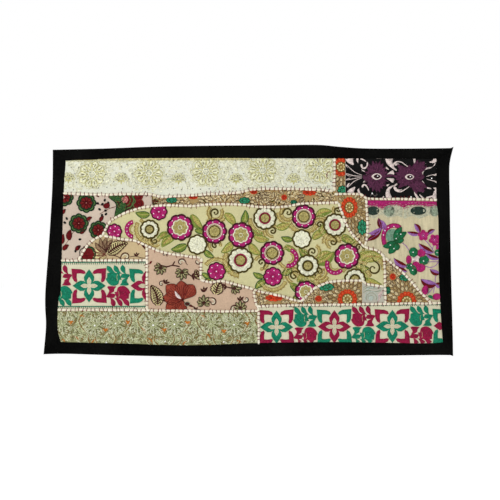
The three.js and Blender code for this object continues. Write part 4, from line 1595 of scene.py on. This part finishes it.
# The pale ground showing between the black scrolls: points of a middle line, width at its start and end.
PALE_HORNS = [
    ([(252, -29), (254, -38), (262, -49)], 26, 3), ([(253, -128), (256, -116), (266, -104)], 26, 3),
    ([(242, -47), (252, -58), (263, -67), (279, -74)], 4.4, 1.4),
    ([(243, -71), (250, -76), (262, -78)], 2.2, 0.8), ([(243, -86), (256, -81), (272, -79)], 2.8, 0.9),
    ([(246, -104), (252, -94), (262, -85), (277, -81)], 4.8, 1.2),
    ([(272, -32), (272, -47), (278, -58), (291, -66)], 6.5, 2.4),
    ([(277, -121), (274, -107), (279, -97), (291, -89)], 6.5, 2.4),
    ([(280, -33), (287, -36), (294, -41)], 5, 2),
    ([(282, -47), (284, -55), (290, -57), (296, -52), (297, -42)], 5.5, 3.5),
    ([(284, -105), (287, -99), (293, -100), (298, -107), (300, -113)], 5.5, 2.5),
    ([(351, -30), (353, -44), (366, -62)], 22, 1.5),
    ([(370, -63), (362, -55), (363, -46), (371, -41), (382, -42), (392, -49), (403, -57)], 4.4, 2.2),
    ([(365, -48), (372, -47), (379, -51)], 8, 1.5), ([(343, -77), (352, -71), (363, -67)], 1, 13),
    ([(344, -82), (353, -85), (363, -89)], 1, 13), ([(343, -55), (351, -61)], 6, 1.5),
    ([(345, -101), (352, -97)], 6, 1.5), ([(352, -136), (348, -120), (351, -108), (363, -100)], 17, 2.4),
    ([(371, -96), (364, -103), (367, -112), (378, -116), (390, -111), (408, -98)], 4.4, 2.0),
    ([(365, -106), (372, -112), (384, -111)], 8, 1.5), ([(414, -30), (415, -42), (416, -53)], 8, 2),
    ([(437, -57), (435, -66), (435, -74)], 11, 1),
    ([(438, -60), (449, -57), (461, -54), (467, -44)], 5, 2.6),
    ([(472, -29), (463, -40), (452, -42)], 17, 2), ([(434, -88), (437, -96), (439, -105)], 1.5, 10),
    ([(440, -102), (450, -107), (470, -107)], 4, 4), ([(471, -106), (467, -118), (466, -136)], 5, 16),
    ([(444, -132), (462, -126)], 6, 4), ([(415, -107), (416, -120), (424, -133)], 2.5, 7),
    ([(427, -123), (439, -135)], 3, 5), ([(461, -76), (470, -72)], 1, 7), ([(461, -89), (470, -93)], 1, 7),
    ([(334, -136), (338, -127)], 8, 3),
]


def spiky(p, x, z, half_x, half_z, spikes, seed):
    """A purple round with a jagged edge, its stitches flecked light and dark."""
    rng = np.random.default_rng(seed)
    for i in range(spikes):
        turn = 360 * i / spikes
        foot, tip = ((np.array(around(0, 0, k, turn + lean)) * [half_x, half_z] + [x, z])
                     for k, lean in ((0.4, 0), (rng.uniform(0.96, 1.08), rng.uniform(-3, 3))))
        p.leaf(*foot, *tip, half_x * 0.33, "purple_thread", bend=0, up=HIGH, fat=0.8)
    rim = scallops(0, 0, 0.84, spikes, 0.08, n=spikes * 4) * [half_x, half_z]
    p.disc("purple_thread", placed(rim, x, z), up=HIGH)
    flecks(p, x, z, half_x, half_z, 90, rng)


def flecks(p, x, z, half_x, half_z, count, rng):
    """Short stray stitches that run outwards, some lighter and some black."""
    for i in range(count):
        turn, reach = rng.uniform(0, 360), rng.uniform(0.3, 0.95)
        length = rng.uniform(0.08, 0.2)
        way = np.array([around(0, 0, reach + k, turn + 5 * k) for k in (0, length)]) * [half_x, half_z]
        thread = "black_thread" if i % 5 < 2 else "violet_purple" if i % 5 < 4 else "pale_rose"
        p.line(thread, way + [x, z], 0.7 if thread == "pale_rose" else 1.2, TOP)


def damask_eye(p, x, z, half):
    for share, thread, up in ((1.0, "pale_ground", 0.5), (0.66, "eye_thread", 0.8)):
        rim = placed(np.vstack([arc(0, -half * 0.5, half * 1.1, 25, 155),
                                arc(0, half * 0.5, half * 1.1, 205, 335)]) * share,
                     x + (1 - share) * half * 0.2, z)
        p.disc(thread, rim, up=HIGH + up)
    p.dots("sequins", [(x + half * 0.2, z + 1)], 2.1, TOP + 0.8, sides=8)


def damask_work():
    p = patch("damask", "damask", "damask_cloth", 101, calm=0.8)
    spread(p, "black_thread", [(240, -30), (340, -29), (476, -29)],
           [(240, -139), (340, -140), (476, -142)], LOW, ribs=30)
    for points, start, stop in PALE_HORNS:
        horn(p, "pale_ground", points, start, stop, MID)
    palmette(p, "black_thread", 286, -78, ((268, -36, 11), (245, -51, 12), (243, -63, 11), (244, -79, 8),
                                           (244, -94, 11), (252, -106, 11), (268, -114, 11)), bend=0.04,
             up=HIGH, fat=0.7)
    palmette(p, "black_thread", 438, -81, ((466, -50, 10), (472, -66, 11), (474, -82, 12), (472, -98, 11),
                                           (466, -115, 10)), bend=0, up=HIGH, fat=0.8)
    veins = ([(284, -75), (264, -66), (244, -48)], [(284, -77), (264, -76), (243, -70)],
             [(284, -79), (264, -83), (244, -87)], [(284, -81), (264, -90), (247, -106)],
             [(444, -78), (458, -74), (471, -73)], [(444, -84), (458, -88), (471, -91)])
    stems(p, "pale_ground", veins, 2.4, HIGH + 0.2, taper=True)
    p.dots("pale_ground", [(306 + 2.1 * i, -124 + 2.4 * math.sin(i)) for i in range(8)], 0.8, HIGH)
    spiky(p, 319, -78, 29, 39, 20, 102)
    p.leaf(300, -78, 275, -77, 13, "purple_thread", up=HIGH)
    p.leaf(338, -79, 370, -77, 7, "purple_thread", up=HIGH + 0.2)
    palmette(p, "purple_thread", 404, -78, ((371, -47, 13), (380, -50, 13), (374, -107, 13),
                                            (384, -103, 13), (402, -49, 18), (405, -106, 16),
                                            (424, -36, 13), (440, -41, 24), (446, -53, 13), (441, -79, 20),
                                            (438, -117, 26), (447, -107, 13), (421, -123, 13)), bend=0,
             up=HIGH, fat=1.2)
    spiky(p, 399, -78, 34, 25, 18, 103)
    rng = np.random.default_rng(104)
    for x, z in ((432, -50), (432, -108)):
        flecks(p, x, z, 14, 12, 26, rng)
    damask_eye(p, 320, -78, 13.5)
    damask_eye(p, 402, -79, 12)
    for x1, z1 in ((306, -77), (303, -72), (303, -82), (308, -71), (308, -84)):
        p.line("pale_ground", np.array([(307, -77), (x1, z1)]), 0.9, TOP)
    p.dots("sequins", [(457.5, -82.5), (309, -120), (406, -129)], 2.2, TOP + 0.6, sides=8)


# The small grey-blue scrap with a pale shell.


def bluish_work():
    p = patch("bluish", "bluish", "bluish_cloth", 111)
    for r, thread, width in ((16, "pale_blue", 2.2), (12.5, "grey_thread", 1.2), (9.5, "pale_blue", 1.6),
                             (6, "grey_thread", 1.0)):
        p.line(thread, arc(307, -381, r, -25, 205), width, LOW + 0.2)
    p.disc("pale_blue", scallops(306, -382, 6.5, 8, 0.15), up=LOW)
    for i, z in enumerate((-352, -357, -364)):
        p.line("grey_thread", smooth_line([(287, z - 4), (298, z + 2), (312, z - 2), (330, z + 1)]),
               1.6 + 0.3 * i, LOW)
    p.leaf(294, -361, 322, -354, 6, "pale_blue", up=LOW)
    p.leaf(324, -392, 338, -360, 9, "pale_rose", up=LOW - 0.2)


# The crinkled patch: a scalloped band, ovals, and sprays of violet and red leaves.

# The band's lower edge, and the lower edge of the pale haze under it.
SWAGS = [(296, -150), (318, -151), (334, -158), (352, -149), (372, -148), (388, -156), (402, -148),
         (430, -149), (452, -152), (478, -151)]
HAZE = [(296, -176), (312, -184), (330, -174), (352, -182), (372, -176), (390, -184), (408, -176),
        (428, -184), (450, -175), (478, -182)]
# Columns: x, half width, half height, thread, thread of the marks on it.
OVALS = [(311, 15.5, 11, "ink_thread", "grey_thread"), (351, 13.5, 14, "grey_thread", "ash_ground"),
         (424, 19.5, 10.5, "ink_thread", "grey_thread"), (465, 12, 14, "grey_thread", "ash_ground")]
OVALS_Z = -163.5
# Columns: x, z of the base, x, z of the tip, width.
JADE_LEAVES = [(364, -240, 382, -204, 17), (366, -240, 394, -217, 15), (366, -242, 388, -236, 14),
               (374, -240, 336, -253, 17), (370, -244, 350, -270, 17), (366, -244, 372, -262, 16)]
VIOLET_STEMS = [
    [(384, -244), (392, -250), (398, -258), (403, -266)], [(440, -236), (452, -249), (462, -264)],
    [(464, -246), (461, -254), (459, -262)], [(442, -302), (454, -305), (466, -301), (476, -290)],
    [(442, -292), (456, -291), (474, -291)], [(462, -264), (470, -277), (478, -292)],
    [(474, -316), (467, -330), (466, -344), (462, -368)], [(446, -372), (456, -362), (466, -345)],
]
# The wreath's round flowers. Columns: x, z, half width, half height, turn, thread.
WREATH = [(411, -312, 9.5, 13, 20, "jade"), (402, -302, 9, 8, 20, "jade"),
          (430, -306, 12, 10.5, 20, "magenta"), (400, -286, 6.5, 11, 0, "magenta"),
          (417, -299, 10, 8, 30, "magenta"), (432, -269, 10.5, 10, 0, "magenta"),
          (412, -267, 11, 12, 20, "jade"), (438, -287, 12.5, 11.5, 10, "jade")]
# Columns: x, z of the base, x, z of the tip, width, threads to the left and right of the midrib, bend.
WING = [
    (331, -206, 300, -220, 11, "violet", "violet", 0.16),
    (341, -218, 329, -186, 10, "violet", "violet", -0.1),
    (333, -210, 325, -181, 9.5, "red", "red", 0.05),
    (332, -211, 293, -238, 11, "red", "red", 0.08),
]
SPRAYS = [
    (427, -219, 414, -196, 11, "violet", "red", -0.1),
    (428, -221, 396, -216, 9, "violet", "red", 0.08),
    (447, -223, 466, -211, 9, "red", "violet", 0.1),
    (462, -268, 425, -245, 13, "violet", "red", 0.1),
    (477, -283, 442, -269, 10, "violet", "red", 0.1),
    (397, -302, 363, -282, 12, "violet", "red", 0.14),
    (396, -315, 364, -297, 12, "violet", "red", 0.12),
    (479, -320, 453, -309, 11, "red", "violet", 0.12),
    (470, -347, 430, -334, 16, "red", "violet", 0.14),
    (466, -346, 481, -358, 11, "red", "violet", 0.12),
]


def two_tone(p, x, z, x1, z1, width, left, right, bend):
    """A leaf of two threads with a violet midrib."""
    width *= 1.3
    p.leaf(x, z, x1, z1, width, left + "_thread", right + "_thread", bend=bend, up=HIGH, fat=0.9)
    p.line("violet_thread", blade(x, z, x1, z1, width, bend, 0.9)[2][:-1], 1.1, HIGH + 0.2)
    p.slants("purple_thread", x, z, x1, z1, width, bend, HIGH, 0.9, thick=0.8, reach=0.85)


def little_flower(p, x, z, r, turn=0):
    for i in range(5):
        oval(p, "magenta_thread", *around(x, z, r * 0.56, turn + 72 * i), r * 0.5, r * 0.44, HIGH,
             turn=turn + 72 * i)
    p.line("violet_thread", scallops(x, z, r * 0.3), 1.2, HIGH + 0.3, closed=True)
    p.dots("sequins", [(x, z)], 1.3, TOP + 0.2, sides=8)


def crinkle_work():
    p = patch("crinkle", "crinkle", "crinkle_cloth", 121, crinkle=0.8)
    spread(p, "ash_ground", [(x, z + 4) for x, z in SWAGS], HAZE, LOW - 0.35, ribs=8)
    spread(p, "magenta_thread", [(296, -137), (380, -138), (478, -140)], SWAGS, MID, ribs=5)
    p.line("crimson_thread", smooth_line([(296, -146), (320, -147), (334, -152), (360, -145), (388, -150),
                                          (430, -146), (478, -147)]), 1.2, MID + 0.3)
    for x, r in ((389, 5), (331, 4), (405, 3.4), (441, 3)):
        p.line("crimson_thread", curl(x, -150, r, 1.1, 90, 1), 1.3, MID + 0.2)
    for x, z in even(smooth_line(SWAGS), 8.5):
        p.line("pale_rose", arc(x, z + 2.2, 2.6, 20, 160), 1.1, MID + 0.3)
        p.line("magenta_thread", arc(x + 4, z, 3.0, 190, 350), 1.5, MID + 0.1)
    for x, half_x, half_z, thread, mark in OVALS:
        oval(p, thread, x, OVALS_Z, half_x, half_z, MID)
        for k in range(9):
            mx, mz = around(x, OVALS_Z, half_z * 0.6, 40 * k + x)
            p.line(mark, np.array([(mx, mz), around(mx, mz, 4, 70 * k)]), 0.8, MID + 0.2)
    for row in WING:
        two_tone(p, *row)
    way = smooth_line([(340, -248), (337, -234), (338, -220), (345, -208), (357, -201), (370, -201),
                       (379, -206)])
    swell = 4.4 + 0.9 * np.abs(np.sin(np.arange(len(way)) * 0.9))
    crescent(p, way, swell, 1.3)
    p.dots("sequins", [(337, -224), (349, -205), (363, -203), (341, -213)], 1.8, TOP + 0.3, sides=8)
    oval(p, "peony_green", 360, -227, 17, 18, MID, turn=20)
    for k in range(6):
        p.line("grey_thread", arc(358, -229, 16 - 2.4 * k, 70, 230), 1.0, MID + 0.2)
    for x, z, x1, z1, width in JADE_LEAVES:
        p.leaf(x, z, x1, z1, width, "jade_thread", bend=0.04, up=HIGH + 0.1, fat=1.1,
               outline="deep_green_thread")
        p.slants("deep_green_thread", x, z, x1, z1, width, 0.04, HIGH + 0.15, 1.1, thick=1.1, reach=0.8)
    p.dots("sequins", [(368.5, -233), (354, -249), (363, -258), (380, -222)], 1.9, TOP + 0.6, sides=8)
    stems(p, "violet_thread", VIOLET_STEMS, 2.2, MID)
    little_flower(p, 436.4, -225, 13.5, 20)
    little_flower(p, 464.6, -236, 14, 50)
    little_flower(p, 476, -253, 9, 0)
    for row in SPRAYS:
        two_tone(p, *row)
    oval(p, "pale_ground", 419, -285, 11, 10, LOW)
    for x, z, half_x, half_z, turn, thread in WREATH:
        oval(p, thread + "_thread", x, z, half_x, half_z, HIGH, turn=turn)
        dark = "deep_green_thread" if thread == "jade" else "crimson_thread"
        p.line(dark, placed(scallops(0, 0, 1, 7, 0.12, n=35) * [half_x, half_z], x, z, turn), 1.4,
               HIGH + 0.1, closed=True)
        for k in range(5):
            p.line(dark, ray(x, z, half_x * 0.25, half_x * 0.9, 72 * k + turn), 1.1, HIGH + 0.1)
    p.dots("sequins", [(411, -267), (437, -289), (406, -300), (410, -312)], 1.9, TOP + 0.4, sides=8)
    oval(p, "jade_thread", 473, -268, 8, 8, HIGH, outline="deep_green_thread")
    p.dots("sequins", [(471, -268)], 1.6, TOP + 0.3, sides=8)
    oval(p, "magenta_thread", 441, -362, 8, 12, HIGH, turn=-15, outline="crimson_thread")
    p.line("grey_thread", smooth_line([(438, -350), (448, -353), (451, -363), (446, -373)]), 3.0, MID)
    p.leaf(448, -376, 463, -385, 8, "jade_thread", bend=0.1, up=HIGH)
    oval(p, "magenta_thread", 470, -378, 10, 8, HIGH, turn=10, outline="crimson_thread")


# The sage strip: close rows of chain stitch, in medallions, hearts and sprays.

MEDALLIONS = [(-466, -445), (-384, -450), (-332, -445), (-238, -449), (-185, -447), (-94, -446),
              (-36, -448), (-132, -444), (-278, -446), (15, -449)]
HEARTS = [(-443.5, -442), (-357, -461), (-301, -442), (-210, -461), (-152, -443), (-61, -464), (-3, -445)]
CHAIN = 4.0  # from one chain stitch to the next


def medallion(p, x, z, r, sequin):
    """A round of small chain stitches, ring upon ring, with a scalloped edge."""
    rng = np.random.default_rng(round(x) % 1000)
    for ring in range(1, 7):
        reach = r * (ring / 6.6)
        count = max(6, round(2 * math.pi * reach / CHAIN))
        for i in range(count):
            turn = 360 * (i + 0.5 * (ring % 2)) / count
            petal = (turn + 4 * ring) / 30 % 1
            thread = "pale_sage" if petal > 0.6 else "sage_light"
            if petal < 0.25 and ring > 1:
                thread = "sage_deep"
            way = np.array([around(x, z, reach - 2.4, turn - 16 / ring),
                            around(x, z, reach + 1.6, turn + 16 / ring)])
            p.line(thread, way, 2.1, MID)
    for i in range(12):
        turn = 30 * i
        foot, tip = around(x, z, r * 0.74, turn), around(x, z, r * 1.08, turn)
        thread = "tan_thread" if rng.uniform() < 0.45 else "pale_sage"
        edge, other, _ = blade(*foot, *tip, r * 0.42, 0, 1.5)
        p.line(thread, edge, 1.5, MID + 0.15)
        p.line("pale_sage" if i % 3 else "tan_thread", other, 1.5, MID + 0.15)
    if sequin:
        p.dots("sequins", [(x, z)], 2.6, TOP + 0.3, sides=10)
    else:
        p.dots("pale_sage", [(x, z)], 1.8, HIGH, sides=8)


def sage_work():
    p = patch("sage", "sage", "sage_cloth", 131, calm=0.7)
    clear = [(x, z, 29) for x, z in MEDALLIONS] + [(x, z, 6) for x, z in HEARTS]
    rng = np.random.default_rng(132)
    for x, z in scatter(p, 4.3, 133, clear, margin=2.0):
        angle = 40 + 170 * float(waves(x, z, 48, 134)) + rng.uniform(-12, 12)
        kind = rng.uniform()
        x1, z1 = around(x, z, 8.0, angle)
        band = float(waves(x, z, 13, 135)) + 0.25 * kind
        thread = ("pale_sage" if band > 0.5 else "sage_light" if band > -0.15
                  else "sage_deep" if band > -0.5 else "tan_thread")
        way = smooth_line([(x, z), around((x + x1) / 2, (z + z1) / 2, 1.3, angle + 90), (x1, z1)])
        p.line(thread, way, 1.8 if kind < 0.62 else 1.5, MID if kind < 0.62 else LOW)
    for i, (x, z) in enumerate(MEDALLIONS):
        medallion(p, x, z, 26, i in (1, 2, 3, 4, 6))
    for i in range(4):
        x = -357 + 147 * i
        for hand in (-1, 1):
            for reach, thread, width in ((58, "tan_thread", 2.6), (54, "sage_light", 1.8),
                                         (62, "sage_light", 1.8)):
                way = [(x + hand * 6, -478), (x + hand * 20, -483), (x + hand * 40, -474),
                       (x + hand * reach, -456), (x + hand * (reach + 8), -436),
                       (x + hand * (reach - 2), -420)]
                p.line(thread, smooth_line(way), width, MID + 0.1)
        for hand, lean in ((-1, 12), (-1, 30), (1, 12), (1, 30)):
            foot = (x + hand * lean, -500)
            way = smooth_line([foot, (x + hand * (lean + 10), -492), (x + hand * (lean + 13), -480),
                               (x + hand * (lean + 8), -470)])
            p.line("tan_thread", way, 2.6, MID + 0.1, taper=True)
            p.line("sage_light", side_of(way, 2.6), 1.8, MID + 0.1)
    for x, z in HEARTS:
        blob(p, "rust_thread", [(x, z - 6), (x - 6, z + 1), (x - 4, z + 5), (x, z + 3), (x + 4, z + 5),
                                (x + 6, z + 1)], HIGH)
        p.line("tan_thread", smooth_line([(x - 9, z + 6), (x - 6, z - 5), (x, z - 9), (x + 6, z - 5),
                                          (x + 9, z + 6)]), 1.4, MID + 0.2)
    for x, z, x1, z1 in ((-392, -494, -380, -484), (-252, -480, -238, -496), (-164, -498, -154, -488),
                         (-432, -478, -424, -486), (-346, -430, -340, -422), (-424, -424, -408, -430),
                         (-268, -456, -256, -466), (-120, -424, -108, -432), (-106, -470, -94, -484),
                         (-30, -486, -18, -494), (-466, -484, -458, -492)):
        p.leaf(x, z, x1, z1, 4.2, "rust_thread", up=MID + 0.2)
    p.dots("sequins", [(-355, -492), (-208, -490), (-62, -491)], 2.2, TOP + 0.2, sides=8)


for work in (centre_work, tile_work, ivory_work, vine_work, blush_work, fawn_work, brick_work, damask_work,
             bluish_work, crinkle_work, sage_work):
    work()

for number, node in enumerate(["border_top", "border_right", "border_bottom", "border_left"]):
    border_cloth(node, 50 + number)


def needlework():
    """Each thread's stitches on each kind of patch, as one piece."""
    for (group, thread), skein in SKEINS.items():
        mesh_piece(group + "_" + thread, np.vstack(skein.points), skein.faces, [thread],
                   across=np.concatenate(skein.across))


needlework()


# The room: a pale floor well below the tapestry, soft light, and a camera square to it.

FRAME_WIDTH = 1250 * MM  # what the picture takes in, across, at the cloth
LENS, SENSOR = 100.0, 36.0
AIM = Vector((3.75, 0, -261.5)) * MM
FLOOR = -1150 * MM


def floor():
    mesh = bpy.data.meshes.new("floor")
    half = 30.0
    corners = [(-half, -half, FLOOR), (half, -half, FLOOR), (half, half, FLOOR), (-half, half, FLOOR)]
    mesh.from_pydata(corners, [], [(0, 1, 2, 3)])
    s = Shader("floor")
    place = s.place()
    cloud = s.noise(place, 3.0)
    pale = s.mix(cloud, linear("#f4f4f4"), linear("#f8f8f8"))
    mesh.materials.append(s.finish(pale, cloud, 0.9, 0.02, Emission_Color=(1, 1, 1, 1),
                                   Emission_Strength=0.55))
    piece = new_object("floor", mesh)


def lamp(name, place, size, power):
    light = bpy.data.lights.new(name, "AREA")
    light.shape, light.size, light.energy = "DISK", size, power
    piece = new_object(name, light)
    piece.location = place
    piece.rotation_euler = (AIM - Vector(place)).to_track_quat("-Z", "Y").to_euler()


def world():
    """White all round: full to the camera's eye, softer as a light."""
    bpy.context.scene.world = bpy.data.worlds.new("studio")
    bpy.context.scene.world.use_nodes = True
    tree = bpy.context.scene.world.node_tree
    tree.nodes.clear()
    seen = tree.nodes.new("ShaderNodeLightPath").outputs["Is Camera Ray"]
    soft, bright = (tree.nodes.new("ShaderNodeBackground") for _ in range(2))
    soft.inputs["Strength"].default_value = 0.49
    bright.inputs["Strength"].default_value = 1.0
    for background in (soft, bright):
        background.inputs["Color"].default_value = (1, 1, 1, 1)
    mix = tree.nodes.new("ShaderNodeMixShader")
    tree.links.new(seen, mix.inputs[0])
    tree.links.new(soft.outputs[0], mix.inputs[1])
    tree.links.new(bright.outputs[0], mix.inputs[2])
    out = tree.nodes.new("ShaderNodeOutputWorld")
    tree.links.new(mix.outputs[0], out.inputs["Surface"])


def camera():
    lens = bpy.data.cameras.new("camera")
    lens.lens, lens.sensor_width = LENS, SENSOR
    piece = new_object("camera", lens)
    piece.location = AIM + Vector((0, -FRAME_WIDTH * LENS / SENSOR, 0))
    piece.rotation_euler = (math.pi / 2, 0, 0)
    bpy.context.scene.camera = piece


floor()
world()
lamp("key", (-1.8, -1.7, 1.3), 0.5, 44.0)
lamp("fill", (1.6, -2.4, 0.1), 1.6, 11.0)
lamp("behind", (0.8, 2.4, 0.8), 1.6, 16.0)
camera()
bpy.context.scene.view_settings.view_transform = "Standard"
